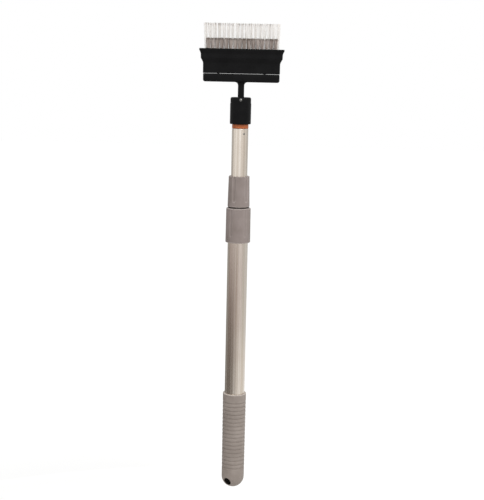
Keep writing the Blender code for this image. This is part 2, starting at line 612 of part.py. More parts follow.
def make_head_screws(head, steel):
    """Two slotted screws that hold the base, the holder and the tuft block together from below."""
    seat = STALK_LENGTH + SCREW_HEAD_RECESS - SEAT_GAP
    shank = SCREW_DIAMETER / 2
    radius = SCREW_HEAD_DIAMETER / 2
    length = BLOCK_FOOT + SCREW_GRIP - seat
    outline = [(0, -SCREW_HEAD_HEIGHT), (radius, -SCREW_HEAD_HEIGHT), (radius, 0), (shank, 0)]
    outline += [(shank, length - shank), (0, length)]
    for side, name in ((-1, "head_screw_left"), (1, "head_screw_right")):
        place = (side * SCREW_PLACE, 0, seat)
        screw = turned(outline, closed=False, segments=SMALL_SEGMENTS)
        screw = add_object(name, screw, steel, head, location=place)
        slot_ends = (-SCREW_HEAD_HEIGHT - OVERRUN, SCREW_SLOT_DEPTH - SCREW_HEAD_HEIGHT)
        slot = block(2 * radius + OVERRUN, SCREW_SLOT_WIDTH, *slot_ends)
        combine(screw, f"{name}_slot_cutter", slot, location=place)


def cell_borders(groups, pitch, cells, cell):
    """Places of the cell borders along one side, in groups of touching cells."""
    borders = []
    for group in range(groups):
        start = (group - (groups - 1) / 2) * pitch - cells * cell / 2
        borders += [start + cell * i for i in range(cells + 1)]
    return borders


def bristle_strip(tufts, across, cell, strand, spread, length, lean):
    """A slice of the backing with its strands, which grow from cells of its top and fan out a little."""
    rolls = random.Random(BRISTLE_SEED + tufts)
    half_y = (ROW_PITCH - SEAT_GAP) / 2
    xs = [-BLOCK_HALF_X] + cell_borders(tufts, TUFT_PITCH, across, cell) + [BLOCK_HALF_X]
    ys = [-half_y] + cell_borders(1, 0, STRAND_ROW_COUNT, cell) + [half_y]
    bm = bmesh.new()
    rows = [[bm.verts.new((x, y, STRIP_THICKNESS)) for y in ys] for x in xs]
    cells = {}
    for i in range(len(xs) - 1):
        for j in range(len(ys) - 1):
            face = bm.faces.new((rows[i][j], rows[i + 1][j], rows[i + 1][j + 1], rows[i][j + 1]))
            tuft, column = divmod(i - 1, across + 1)
            if 0 <= tuft < tufts and column < across and 0 < j <= STRAND_ROW_COUNT:
                row = j - (STRAND_ROW_COUNT + 1) / 2
                cells[face] = (tuft - (tufts - 1) / 2, column - (across - 1) / 2, row)
    corners = [bm.verts.new((x, y, 0)) for x in (xs[0], xs[-1]) for y in (ys[0], ys[-1])]
    left_front, left_back, right_front, right_back = corners
    bm.faces.new((left_front, left_back, right_back, right_front))
    bm.faces.new([left_front, right_front] + [row[0] for row in reversed(rows)])
    bm.faces.new([right_back, left_back] + [row[-1] for row in rows])
    bm.faces.new([left_back, left_front] + rows[0])
    bm.faces.new([right_front, right_back] + list(reversed(rows[-1])))
    for face, (tuft, column, row) in cells.items():
        bmesh.ops.inset_individual(bm, faces=[face], thickness=(cell - strand) / 2)
        strand_tip = bmesh.ops.extrude_discrete_faces(bm, faces=[face])["faces"][0]
        fan = tuft * TUFT_PITCH * FAN_SHARE
        shift_x = fan + column * (spread - cell) + rolls.uniform(-TIP_JITTER, TIP_JITTER)
        shift_y = lean + row * (spread - cell) + rolls.uniform(-TIP_JITTER, TIP_JITTER)
        rise = length - rolls.uniform(0, LENGTH_JITTER)
        bmesh.ops.translate(bm, verts=strand_tip.verts, vec=(shift_x, shift_y, rise))
    return bm


def make_bristles(head, clear, grey):
    long_row = (LONG_TUFT_COUNT, LONG_COLUMN_COUNT, LONG_CELL, LONG_STRAND, LONG_SPREAD, LONG_LENGTH)
    short_row = (SHORT_TUFT_COUNT, SHORT_COLUMN_COUNT, SHORT_CELL, SHORT_STRAND, SHORT_SPREAD, SHORT_LENGTH)
    for name, side, row, finish in (
        ("long_bristles", 0, long_row, clear),
        ("front_short_bristles", -1, short_row, grey),
        ("back_short_bristles", 1, short_row, grey),
    ):
        place = (0, side * ROW_PITCH, STRIP_FOOT)
        add_object(name, bristle_strip(*row, side * SHORT_LEAN), finish, head, location=place)


def main():
    for obj in list(bpy.data.objects):
        bpy.data.objects.remove(obj, do_unlink=True)

    grip_grey = material("grip_grey_soft_plastic", "#918781", 0.55)
    collar_grey = material("collar_grey_plastic", "#948985", 0.45)
    collet_dark = material("collet_dark_plastic", "#2E2A27", 0.5)
    aluminium = material("satin_aluminium", "#C9C4BE", 0.32, metallic=1.0)
    orange = material("orange_plastic", "#BE5A2D", 0.4)
    black = material("black_plastic", "#1B1B1C", 0.42)
    steel = material("steel", "#C4C4C6", 0.3, metallic=1.0)
    clear_nylon = material("clear_nylon", "#EBE8E3", 0.35, alpha=0.8)
    grey_nylon = material("grey_nylon", "#8F8783", 0.5)

    pole = axis_empty("grip_section_axis", None, -GRIP_HAND_HEIGHT)
    lower_collar = axis_empty("lower_collar_axis", pole, LOWER_COLLAR_FOOT)
    middle_guide = axis_empty("middle_guide_axis", pole, MIDDLE_TUBE_FOOT)
    middle = axis_empty("middle_section_axis", middle_guide, 0)
    upper_collar = axis_empty("upper_collar_axis", middle, UPPER_COLLAR_FOOT - MIDDLE_TUBE_FOOT)
    inner_guide = axis_empty("inner_guide_axis", middle, INNER_TUBE_FOOT - MIDDLE_TUBE_FOOT)
    inner = axis_empty("inner_section_axis", inner_guide, 0)
    head = axis_empty("head_pivot_axis", inner, PIVOT_HEIGHT - INNER_TUBE_FOOT)

    make_grip(pole, grip_grey)
    make_tube("outer_tube", OUTER_RADIUS, OUTER_TUBE_LENGTH, pole, aluminium, OUTER_TUBE_FOOT)
    make_lower_lock(pole, lower_collar, collar_grey, collet_dark)
    make_guide("middle_guide", MIDDLE_RADIUS, middle_guide, collet_dark)
    make_tube("middle_tube", MIDDLE_RADIUS, MIDDLE_TUBE_LENGTH, middle, aluminium, 0)
    make_upper_lock(middle, upper_collar, collar_grey, collet_dark)
    make_guide("inner_guide", INNER_RADIUS, inner_guide, collet_dark)
    make_inner_tube(inner, aluminium, orange, steel)
    make_socket(inner, black, steel)
    make_base(head, black)
    make_holder(head, black)
    make_tuft_block(head, black)
    make_head_screws(head, steel)
    make_bristles(head, clear_nylon, grey_nylon)


main()
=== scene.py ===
import math

import bmesh
import bpy
from mathutils import Euler, Matrix, Quaternion, Vector


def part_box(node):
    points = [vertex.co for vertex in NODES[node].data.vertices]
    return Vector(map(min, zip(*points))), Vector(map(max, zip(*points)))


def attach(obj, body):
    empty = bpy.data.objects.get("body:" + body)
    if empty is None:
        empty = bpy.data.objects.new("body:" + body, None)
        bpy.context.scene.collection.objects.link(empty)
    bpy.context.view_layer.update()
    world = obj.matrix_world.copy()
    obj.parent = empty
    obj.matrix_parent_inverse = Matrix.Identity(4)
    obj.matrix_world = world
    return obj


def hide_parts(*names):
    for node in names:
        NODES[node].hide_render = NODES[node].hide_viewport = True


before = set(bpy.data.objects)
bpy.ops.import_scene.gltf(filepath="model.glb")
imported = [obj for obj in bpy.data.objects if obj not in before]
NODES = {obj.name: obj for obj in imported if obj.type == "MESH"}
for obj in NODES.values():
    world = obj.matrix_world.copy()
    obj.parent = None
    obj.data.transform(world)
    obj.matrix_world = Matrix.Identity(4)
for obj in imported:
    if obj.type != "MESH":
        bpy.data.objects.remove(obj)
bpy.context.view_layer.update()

# Camera: the photograph's frame in pixels, and how the camera stands to the pole, in metres
FRAME_HEIGHT = 500
FOCAL_LENGTH_PIXELS = 1100
SENSOR_WIDTH = 36
CAMERA_DISTANCE = 1.364
CAMERA_PITCH = math.radians(9.5)
CAMERA_ROLL = math.radians(1.28)
LOOK_AT = Vector((0.0055, 0, 0.2373))

# Facets of turned pieces, and how shapes are joined, cut and shaded
FINE_TURN = 144
SMALL_TURN = 48
FASTENER_TURN = 24
SMOOTH_ANGLE = math.radians(32)
DOUBLES_DISTANCE = 0.0000005
OVERRUN = 0.004
ALONG_Y = (math.radians(90), 0, 0)
# Edge wear and painted highlight start at the first angle and are full when sharper by the second, in radians
EDGE_WEAR_AND_HIGHLIGHT_START = 0.12
EDGE_WEAR_AND_HIGHLIGHT_SPAN = 0.3

# Pole, in metres
TUBE_WALL = 0.001
TUBE_EDGE_ROUND = 0.00025
GRIP_WALL = 0.0014
FIT_GAP = 0.0003
GRIP_TAPER = 0.00045
GRIP_RIM_ROUND = 0.0008
GRIP_FLOOR_HEIGHT = 0.0178
GRIP_ROW = 0.0006
GRIP_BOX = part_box("grip")
GRIP_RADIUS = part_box("outer_tube")[1].x + FIT_GAP + GRIP_WALL
TOP_GROOVE_DROP = 0.0114
GROOVE_PITCH = 0.00505
GROOVE_COUNT = 18
GROOVE_WIDTH = 0.0027
GROOVE_DEPTH = 0.0006
HANG_HOLE_RADIUS = 0.005
HANG_HOLE_HEIGHT = 0.0093
HANG_HOLE_TURN = math.radians(-33)
HANG_HOLE_ROW = 0.0005
LIP_REACH = 0.0011
LIP_PASSES = 5
# The hang hole's wall is painted dark as shade, in full from this depth under the skin
HOLE_SHADE_DEPTH = 0.0012

# Lock collars. A flute's turn is in degrees from the front. The round where it meets the skin starts and
# ends in units of its softness.
FLUTE_COUNT = 5
FLUTE_TOOL = 0.005
FLUTE_FOOT_SHARE = 0.23
FLUTE_TOP_SHARE = 0.93
FLUTE_SOFTNESS = 0.00006
FLUTE_ROUND_START = -4
FLUTE_ROUND_END = 30
COLLAR_ROW = 0.0005
COLLAR_CLEARANCE = 0.00075
COLLAR_SHOULDER_DEPTH = 0.008
SLEEVE_FLANGE_HEIGHT = 0.001
LOWER_COLLAR = {"taper": 0.0003, "chamfer": 0.0011, "depth": 0.00045, "turn": -36, "bore": 0.014}
UPPER_COLLAR = {"taper": 0.0008, "chamfer": 0.0006, "depth": 0.0008, "turn": -27, "bore": 0.01255}

# Threaded tip and its rivets. The dome is angles up from the head's rim, in radians.
TIP_FLANGE_HEIGHT = 0.0048
TIP_FLANGE_ROUND = 0.0004
TIP_STUD_RADIUS = 0.0065
TIP_PLUG_RADIUS = 0.0087
TIP_RIVET_TURN = math.radians(29)
TIP_RIVET_LIFT = 0.0001
TIP_RIVET_DEPTH = 0.0039
TIP_RIVET_SHANK = 0.001
TIP_RIVET_HEAD = 0.0012
TIP_RIVET_RISE = 0.0003
TIP_RIVET_DOME = (0.3, 0.6, 0.9, 1.25)

# Socket and pivot rivet. The rivet's head is an outline of inset from its rim and depth below its crown.
SOCKET_TOP_ROUND = 0.0018
SOCKET_FOOT_ROUND = 0.0008
SOCKET_BORE = 0.0068
SOCKET_BORE_DEPTH = 0.016
SOCKET_EDGE = 0.0002
SOCKET_ROW = 0.001
SOCKET_TOP_ROW = 0.0015
SLOT_WIDTH = 0.0056
SLOT_DEPTH = 0.0043
PIVOT_DROP = 0.003
PIVOT_HOLE = 0.0015
PIVOT_RECESS = 0.00195
PIVOT_RECESS_DEPTH = 0.001
PIVOT_SHANK = 0.0012
PIVOT_HEAD = ((0, 0.0009), (0, 0.00035), (0.0003, 0.0001))
PIVOT_CROWN_SHARE = 0.45

# Brush head
STALK_WIDTH = 0.0076
STALK_DEPTH = 0.005
STALK_LENGTH = 0.0211
STALK_FILLET = 0.004
STALK_EDGE = 0.0005
BASE_CORNER = 0.003
BASE_FOOT_ROUND = 0.0026
BASE_TOP_ROUND = 0.0011
HOLDER_CORNER = 0.0026
HOLDER_WALL = 0.0016
HOLDER_FLOOR = 0.002
HOLDER_LIP_ROUND = 0.0004
FLARE_FRONT_SHARE = 0.6
# Outline of the flare: depth below the mouth and reach past the straight wall
FLARE = ((0, 0.0048), (0.0019, 0.0048), (0.0032, 0.0042), (0.0044, 0.0036), (0.0056, 0.0032))
FLARE += ((0.007, 0.00295), (0.0114, 0.0028), (0.0128, 0.00205), (0.014, 0.0014))
FLARE += ((0.0152, 0.0008), (0.0164, 0.0003), (0.0176, 0))

# Screws of the brush head. The dome is a share of the head's radius, and height.
SCREW_PLACE = 0.028
SCREW_RECESS = 0.0029
SCREW_RECESS_DEPTH = 0.0022
SCREW_HOLE = 0.00175
SCREW_HOLE_DEPTH = 0.015
SCREW_HEAD = 0.0026
SCREW_HEAD_HEIGHT = 0.0018
SCREW_DOME = ((0.6, 0), (0.93, 0.0003), (1, 0.0009))
SCREW_SHANK = 0.00145
SCREW_SLOT = 0.0008
SCREW_TURN = math.radians(35)

# Bristles: tufts of round filaments, in a face with a low collar round each tuft
TUFT_FACE_HEIGHT = 0.002
TUFT_FACE_CORNER = 0.0007
TUFT_FACE_EDGE = 0.0003
TUFT_PITCH = 0.0053
ROW_PITCH = 0.00307
TUFT_ROOT_HEIGHT = 0.0019
FAN_SHARE = 0.027
FILAMENT = 0.0003
FILAMENT_SIDES = 5
FILAMENT_STEPS = 3
GOLDEN_ANGLE = math.radians(137.508)
STREAK = 0.0011
OWN_SHADE = 0.28
LONG_ROW = {"Tufts": 17, "Strands": 36, "Length": 0.0455, "Tuft Radius": 0.0019, "Spread": 0.001}
LONG_ROW.update({"Lean": 0, "Uneven": 0.0011, "Sway": 0.0005, "Seed": 3})
SHORT_ROW = {"Tufts": 16, "Strands": 52, "Length": 0.0278, "Tuft Radius": 0.0014, "Spread": 0.0011}
SHORT_ROW.update({"Lean": 0.0009, "Uneven": 0.002, "Sway": 0.0006, "Seed": 11})

# Patterns of the finishes. Nearly all of a noise lies in its span.
NOISE_SPAN = (0.3, 0.7)
# Die lines on a tube are about 0.1 mm apart. They are drawn 0.5 mm and 2 mm apart, so that they show.
DIE_LINE = 0.0005
DIE_BAND = 0.0021
DIE_STRETCH = 0.005
SMUDGE = 0.03
# Draw lines on a filament are a few hundredths of a millimetre apart. They are drawn 0.2 mm apart, so that
# they show.
DRAW_LINE = 0.0002
DRAW_STRETCH = 0.02
# Past its cut shade, a strand's end turns dark over this much more shade
CUT_SHADE_SPAN = 0.15

# Stage
FLOOR_HEIGHT = -0.5
FLOOR_SIZE = 12
BACKDROP_GLOW = 1.15
BACKDROP_SHARE = 0.75
# The room is brightest this way. Its light goes from the first value on the far side to the second.
ROOM_TOWARD = (0.6, -0.35, 0.7)
ROOM_LIGHT = (0.62, 0.98)
PANEL_RADIUS = 1.2
PANEL_STEPS = 32
# A panel's left tones lie this way, and end at this share of its radius on the other side. They fade by a
# power that grows from the first to the second between two heights.
PRINT_WAY = (-0.95, -0.3, 0)
PRINT_END = -0.25
PRINT_HEIGHTS = (-0.2, 0.0)
PRINT_POWERS = (1.0, 3.5)


def colour(hex_colour):
    """An sRGB hex colour as linear light with full alpha."""
    values = [int(hex_colour[i : i + 2], 16) / 255 for i in (1, 3, 5)]
    return (*[v / 12.92 if v <= 0.04045 else ((v + 0.055) / 1.055) ** 2.4 for v in values], 1)


def add(tree, kind, inputs=(), **settings):
    """Adds a node with its settings. Inputs come as a list in their order, or by name or number. Each takes a
    value, or another node's output, which is linked."""
    node = tree.nodes.new(kind)
    for name, value in settings.items():
        setattr(node, name, value)
    for name, value in (inputs.items() if isinstance(inputs, dict) else enumerate(inputs)):
        if isinstance(value, bpy.types.NodeSocket):
            tree.links.new(value, node.inputs[name])
        else:
            node.inputs[name].default_value = value
    return node.outputs


# Finishes


def new_material(name):
    """An empty material and its tree."""
    material = bpy.data.materials.new(name)
    material.use_nodes = True
    material.node_tree.nodes.clear()
    return material, material.node_tree


def end_material(tree, tone, pattern, roughness, relief, strength, surface, span=NOISE_SPAN):
    """Ends a material. A pattern that lies in the span gives its roughness and its bump, and the surface
    holds the shader's other inputs."""
    shine = {"Value": pattern, "From Min": span[0], "From Max": span[1]}
    shine.update({"To Min": roughness[0], "To Max": roughness[1]})
    shine = add(tree, "ShaderNodeMapRange", shine)[0]
    normal = add(tree, "ShaderNodeBump", {"Height": pattern, "Distance": relief, "Strength": strength})[0]
    inputs = {"Base Color": tone, "Roughness": shine, "Normal": normal, **surface}
    add(tree, "ShaderNodeOutputMaterial", [add(tree, "ShaderNodeBsdfPrincipled", inputs)[0]])


def moulded(name, tones, mottle, grain, roughness, relief, surface, marks=()):
    """A moulded finish that drifts between two tones, under a fine grain. Sizes are in metres. A mark changes
    the tone, by a share, where the piece's attribute of that name is high."""
    material, tree = new_material(name)
    place = add(tree, "ShaderNodeTexCoord")["Object"]
    drift = add(tree, "ShaderNodeTexNoise", {"Vector": place, "Scale": 1 / mottle, "Detail": 3})[0]
    fine = add(tree, "ShaderNodeTexNoise", {"Vector": place, "Scale": 1 / grain, "Detail": 3})[0]
    share = add(tree, "ShaderNodeMapRange", {"Value": drift, "From Min": 0.35, "From Max": 0.65})[0]
    blend = {0: share, 6: colour(tones[0]), 7: colour(tones[1])}
    tone = add(tree, "ShaderNodeMix", blend, data_type="RGBA")[2]
    for mark, marked_tone, most in marks:
        high = add(tree, "ShaderNodeAttribute", attribute_name=mark)["Fac"]
        share = add(tree, "ShaderNodeMath", [high, most], operation="MULTIPLY")[0]
        tone = add(tree, "ShaderNodeMix", {0: share, 6: tone, 7: colour(marked_tone)}, data_type="RGBA")[2]
    end_material(tree, tone, fine, roughness, relief, strength=0.6, surface=surface)
    return material


def drawn_aluminium():
    """Aluminium tube, drawn through a die and satin anodised: warm silver. The die's lines run along it, so
    they smear what it mirrors round the tube, and leave fine lighter and darker stripes."""
    material, tree = new_material("drawn_anodised_aluminium")
    place = add(tree, "ShaderNodeTexCoord")["Object"]
    along = add(tree, "ShaderNodeMapping", {"Vector": place, "Scale": (1, 1, DIE_STRETCH)})[0]
    fine = add(tree, "ShaderNodeTexNoise", {"Vector": along, "Scale": 1 / DIE_LINE, "Detail": 3})[0]
    coarse = add(tree, "ShaderNodeTexNoise", {"Vector": along, "Scale": 1 / DIE_BAND, "Detail": 2})[0]
    smudge = add(tree, "ShaderNodeTexNoise", {"Vector": place, "Scale": 1 / SMUDGE, "Detail": 3})[0]
    share = add(tree, "ShaderNodeMapRange", {"Value": coarse, "From Min": 0.32, "From Max": 0.68})[0]
    blend = {0: share, 6: colour("#CCC0B2"), 7: colour("#F4ECE2")}
    tone = add(tree, "ShaderNodeMix", blend, data_type="RGBA")[2]
    share = {"Value": smudge, "From Min": 0.5, "From Max": 0.8, "To Max": 0.4}
    share = add(tree, "ShaderNodeMapRange", share)[0]
    tone = add(tree, "ShaderNodeMix", {0: share, 6: tone, 7: colour("#D2C3B7")}, data_type="RGBA")[2]
    both = add(tree, "ShaderNodeMath", [fine, 0.5, coarse], operation="MULTIPLY_ADD")[0]
    round_tube = add(tree, "ShaderNodeTangent", direction_type="RADIAL", axis="Z")[0]
    surface = {"Metallic": 1, "Anisotropic": 0.5, "Tangent": round_tube}
    shine = {"roughness": (0.2, 0.32), "relief": 0.00002, "strength": 0.5, "span": (0.5, 1)}
    end_material(tree, tone, both, surface=surface, **shine)
    return material


def drawn_nylon(name, tones, cut_tone, cut_from, cut_shade, roughness, surface, alphas=None):
    """Nylon drawn into round filaments. Each strand keeps one tone along it. A strand that is darker than
    the cut shade has a dark cut end. Alphas are how solid a see-through strand and its cut end look."""
    material, tree = new_material(name)
    shade = add(tree, "ShaderNodeAttribute", attribute_name="shade")["Fac"]
    ramp = add(tree, "ShaderNodeValToRGB", [shade])[0]
    stops = ramp.node.color_ramp.elements
    stops[0].color = colour(tones[0])
    stops[1].color = colour(tones[-1])
    for i, tone in enumerate(tones[1:-1], 1):
        stops.new(i / (len(tones) - 1)).color = colour(tone)
    along = add(tree, "ShaderNodeAttribute", attribute_name="along")["Fac"]
    tip = add(tree, "ShaderNodeMapRange", {"Value": along, "From Min": cut_from})[0]
    dark = {"Value": shade, "From Min": cut_shade, "From Max": cut_shade + CUT_SHADE_SPAN}
    dark = add(tree, "ShaderNodeMapRange", dark)[0]
    share = add(tree, "ShaderNodeMath", [tip, dark], operation="MULTIPLY")[0]
    tone = add(tree, "ShaderNodeMix", {0: share, 6: ramp, 7: colour(cut_tone)}, data_type="RGBA")[2]
    place = add(tree, "ShaderNodeTexCoord")["Object"]
    place = add(tree, "ShaderNodeMapping", {"Vector": place, "Scale": (1, 1, DRAW_STRETCH)})[0]
    lines = add(tree, "ShaderNodeTexNoise", {"Vector": place, "Scale": 1 / DRAW_LINE, "Detail": 2})[0]
    if alphas:
        solid = {"Value": share, "To Min": alphas[0], "To Max": alphas[1]}
        surface = {**surface, "Alpha": add(tree, "ShaderNodeMapRange", solid)[0]}
    end_material(tree, tone, lines, roughness, relief=0.00001, strength=0.4, surface=surface)
    return material


# Shapes


def arc(centre, radius, start, end, steps=6):
    """Points of an arc about a centre, with angles in degrees."""
    angles = [math.radians(start + (end - start) * i / steps) for i in range(steps + 1)]
    return [(centre[0] + radius * math.cos(a), centre[1] + radius * math.sin(a)) for a in angles]


def stepped(start, end, row):
    """Points from start to end, about a row apart, without the first one."""
    count = max(1, round(math.dist(start, end) / row))
    return [tuple(a + (b - a) * i / count for a, b in zip(start, end)) for i in range(1, count + 1)]


def turned(outline, segments, closed=True, dent=None):
    """Turns (radius, height) points round the pole's axis. A dent changes the radius by angle and height."""
    bm = bmesh.new()
    rings = []
    for radius, height in outline:
        ring = []
        for i in range(segments):
            angle = math.tau * i / segments
            reach = dent(angle, radius, height) if dent else radius
            if not radius and ring:
                ring.append(ring[0])
            else:
                ring.append(bm.verts.new((reach * math.cos(angle), reach * math.sin(angle), height)))
        rings.append(ring)
    nexts = rings[1:] + rings[:1] if closed else rings[1:]
    for lower, upper in zip(rings, nexts):
        for i in range(segments):
            j = (i + 1) % segments
            bm.faces.new(dict.fromkeys((lower[i], lower[j], upper[j], upper[i])))
    return bm


def rounded_loop(half_x, half_y, corner, height, steps=8):
    """Points round a rectangle with round corners, at one height."""
    points = []
    for turn, (side_x, side_y) in enumerate(((1, 1), (-1, 1), (-1, -1), (1, -1))):
        centre = (side_x * (half_x - corner), side_y * (half_y - corner))
        points += arc(centre, corner, turn * 90, turn * 90 + 90, steps)
    return [(x, y, height) for x, y in points]


def lofted(loops):
    """Skins loops of as many points each, in order, and closes the first and the last."""
    bm = bmesh.new()
    rows = [[bm.verts.new(point) for point in loop] for loop in loops]
    for lower, upper in zip(rows, rows[1:]):
        for i in range(len(lower)):
            j = (i + 1) % len(lower)
            bm.faces.new((lower[i], lower[j], upper[j], upper[i]))
    bm.faces.new(rows[0])
    bm.faces.new(rows[-1])
    return bm


def block(low, high):
    """A box between two corners."""
    bm = bmesh.new()
    middle = Matrix.Translation((Vector(low) + Vector(high)) / 2)
    bmesh.ops.create_cube(bm, size=1, matrix=middle @ Matrix.Diagonal((*(Vector(high) - Vector(low)), 1)))
    return bm


def placed(bm, location, rotation=(0, 0, 0)):
    """Turns a shape about the origin and then moves it."""
    matrix = Matrix.Translation(location) @ Euler(rotation).to_matrix().to_4x4()
    bmesh.ops.transform(bm, verts=bm.verts, matrix=matrix)
    return bm


def shape(name, bm):
    """An object at the origin that holds a shape, with doubles merged and faces out."""
    bmesh.ops.remove_doubles(bm, verts=bm.verts, dist=DOUBLES_DISTANCE)
    bmesh.ops.recalc_face_normals(bm, faces=bm.faces)
    mesh = bpy.data.meshes.new(name)
    bm.to_mesh(mesh)
    bm.free()
    obj = bpy.data.objects.new(name, mesh)
    bpy.context.scene.collection.objects.link(obj)
    return obj


def applied(obj):
    """Puts an object's modifiers into its mesh and removes them."""
    bpy.context.view_layer.update()
    evaluated = obj.evaluated_get(bpy.context.evaluated_depsgraph_get())
    mesh = bpy.data.meshes.new_from_object(evaluated)
    obj.modifiers.clear()
    obj.data = mesh
    return obj


def cut(obj, bm, operation="DIFFERENCE"):
    """Cuts a shape from an object for good, or joins it on."""
    tool = shape("tool", bm)
    boolean = obj.modifiers.new("cut", "BOOLEAN")
    boolean.operation = operation
    boolean.object = tool
    boolean.solver = "EXACT"
    applied(obj)
    bpy.data.objects.remove(tool)


def rod(radius, start, end):
    """The outline of a straight rod, to be turned."""
    return [(0, start), (radius, start), (radius, end), (0, end)]


def drill(obj, outline, location, rotation=(0, 0, 0)):
    """Cuts a turned hole into an object for good."""
    cut(obj, placed(turned(outline, SMALL_TURN, closed=False), location, rotation))


def bevelled(obj, width, segments=2, angle=40):
    """Rounds the sharp edges of an object for good."""
    bevel = obj.modifiers.new("edges", "BEVEL")
    bevel.width = width
    bevel.segments = segments
    bevel.limit_method = "ANGLE"
    bevel.angle_limit = math.radians(angle)
    applied(obj)


def mark_edges(obj):
    """Writes how far each vertex juts out, for paler edges: wear, and a painted highlight."""
    bm = bmesh.new()
    bm.from_mesh(obj.data)
    edge = bm.verts.layers.float.new("edge")
    for vert in bm.verts:
        sharpest = max(link.calc_face_angle_signed(0) for link in vert.link_edges)
        vert[edge] = min(1, max(0, (sharpest - EDGE_WEAR_AND_HIGHLIGHT_START) / EDGE_WEAR_AND_HIGHLIGHT_SPAN))
    bm.to_mesh(obj.data)
    bm.free()


def finished(obj, name, body, nodes, slot):
    """Names a piece, shades it, gives it its slot's finish and sets it on its body in place of its nodes."""
    obj.name = name
    obj.data.name = name
    obj.data.materials.clear()
    obj.data.materials.append(FINISHES[slot])
    obj.data.shade_smooth()
    obj.data.set_sharp_from_angle(angle=SMOOTH_ANGLE)
    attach(obj, body)
    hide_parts(*nodes)


# Geometry Nodes trees


def new_tree(name, kinds):
    """A Geometry Nodes tree with named inputs of the given kinds. Returns it and its inputs, to link from."""
    tree = bpy.data.node_groups.new(name, "GeometryNodeTree")
    tree.interface.new_socket("Geometry", in_out="OUTPUT", socket_type="NodeSocketGeometry")
    for socket, kind in {"Geometry": "Geometry", **kinds}.items():
        tree.interface.new_socket(socket, in_out="INPUT", socket_type="NodeSocket" + kind)
    return tree, add(tree, "NodeGroupInput")


def end_tree(tree, geometry):
    """Realizes the instances and ends the tree."""
    add(tree, "NodeGroupOutput", [add(tree, "GeometryNodeRealizeInstances", [geometry])[0]])
    return tree


def grow(tree, values, obj=None):
    """Runs a Geometry Nodes tree with the given inputs, on an object or on nothing. Keeps a plain mesh."""
    obj = obj or shape(tree.name, bmesh.new())
    modifier = obj.modifiers.new(tree.name, "NODES")
    modifier.node_group = tree
    for item in tree.interface.items_tree:
        if item.name in values:
            modifier[item.identifier] = values[item.name]
    return applied(obj)


def copied(tree, piece, count, start, step, turn):
    """One object with copies of a piece in a line, instead of the piece."""
    copies = grow(tree, {"Piece": piece, "Count": count, "Start": start, "Step": step, "Turn": turn})
    bpy.data.objects.remove(piece)
    return copies


def rib_tree():
    """Presses even ring grooves into a turned skin and marks them for painted shade. What lies within the
    skin stays.
    """
    names = ("First", "Middle", "Half Span", "Half Pitch", "Half Width", "Depth", "Skin Radius")
    tree, sizes = new_tree("grip_ribs", dict.fromkeys(names, "Float"))
    place = add(tree, "GeometryNodeInputPosition")[0]
    height = add(tree, "ShaderNodeSeparateXYZ", [place])[2]
    inwards = add(tree, "ShaderNodeVectorMath", [place, (-1, -1, 0)], operation="MULTIPLY")[0]
    radius = add(tree, "ShaderNodeVectorMath", [inwards], operation="LENGTH")["Value"]
    rise = add(tree, "ShaderNodeMath", [height, sizes["First"]], operation="SUBTRACT")[0]
    away = add(tree, "ShaderNodeMath", [rise, sizes["Half Pitch"]], operation="PINGPONG")[0]
    dip = {"Value": away, "From Max": sizes["Half Width"], "To Min": 1, "To Max": 0}
    dip = add(tree, "ShaderNodeMapRange", dip, interpolation_type="SMOOTHSTEP")[0]
    ribbed = [height, sizes["Middle"], sizes["Half Span"]]
    ribbed = add(tree, "ShaderNodeMath", ribbed, operation="COMPARE")[0]
    on_skin = add(tree, "ShaderNodeMath", [radius, sizes["Skin Radius"]], operation="GREATER_THAN")[0]
    dip = add(tree, "ShaderNodeMath", [dip, ribbed], operation="MULTIPLY")[0]
    dip = add(tree, "ShaderNodeMath", [dip, on_skin], operation="MULTIPLY")[0]
    marked = {0: sizes["Geometry"], "Name": "groove", "Value": dip}
    marked = add(tree, "GeometryNodeStoreNamedAttribute", marked, data_type="FLOAT", domain="POINT")[0]
    depth = add(tree, "ShaderNodeMath", [dip, sizes["Depth"]], operation="MULTIPLY")[0]
    inwards = add(tree, "ShaderNodeVectorMath", [inwards], operation="NORMALIZE")[0]
    offset = add(tree, "ShaderNodeVectorMath", {0: inwards, "Scale": depth}, operation="SCALE")[0]
    return end_tree(tree, add(tree, "GeometryNodeSetPosition", {0: marked, "Offset": offset})[0])


def copies_tree():
    """Sets copies of one piece in a line, each turned further about the pole's direction than the last."""
    kinds = {"Piece": "Object", "Count": "Int", "Start": "Vector", "Step": "Vector", "Turn": "Float"}
    tree, sizes = new_tree("copies_in_line", kinds)
    line = {"Count": sizes["Count"], "Start Location": sizes["Start"], "Offset": sizes["Step"]}
    line = add(tree, "GeometryNodeMeshLine", line)[0]
    piece = add(tree, "GeometryNodeObjectInfo", {"Object": sizes["Piece"]})["Geometry"]
    index = add(tree, "GeometryNodeInputIndex")[0]
    turn = add(tree, "ShaderNodeMath", [index, sizes["Turn"]], operation="MULTIPLY")[0]
    turn = add(tree, "ShaderNodeCombineXYZ", {2: turn})[0]
    copies = {"Points": line, "Instance": piece, "Rotation": turn}
    copies = add(tree, "GeometryNodeInstanceOnPoints", copies)[0]
    return end_tree(tree, copies)


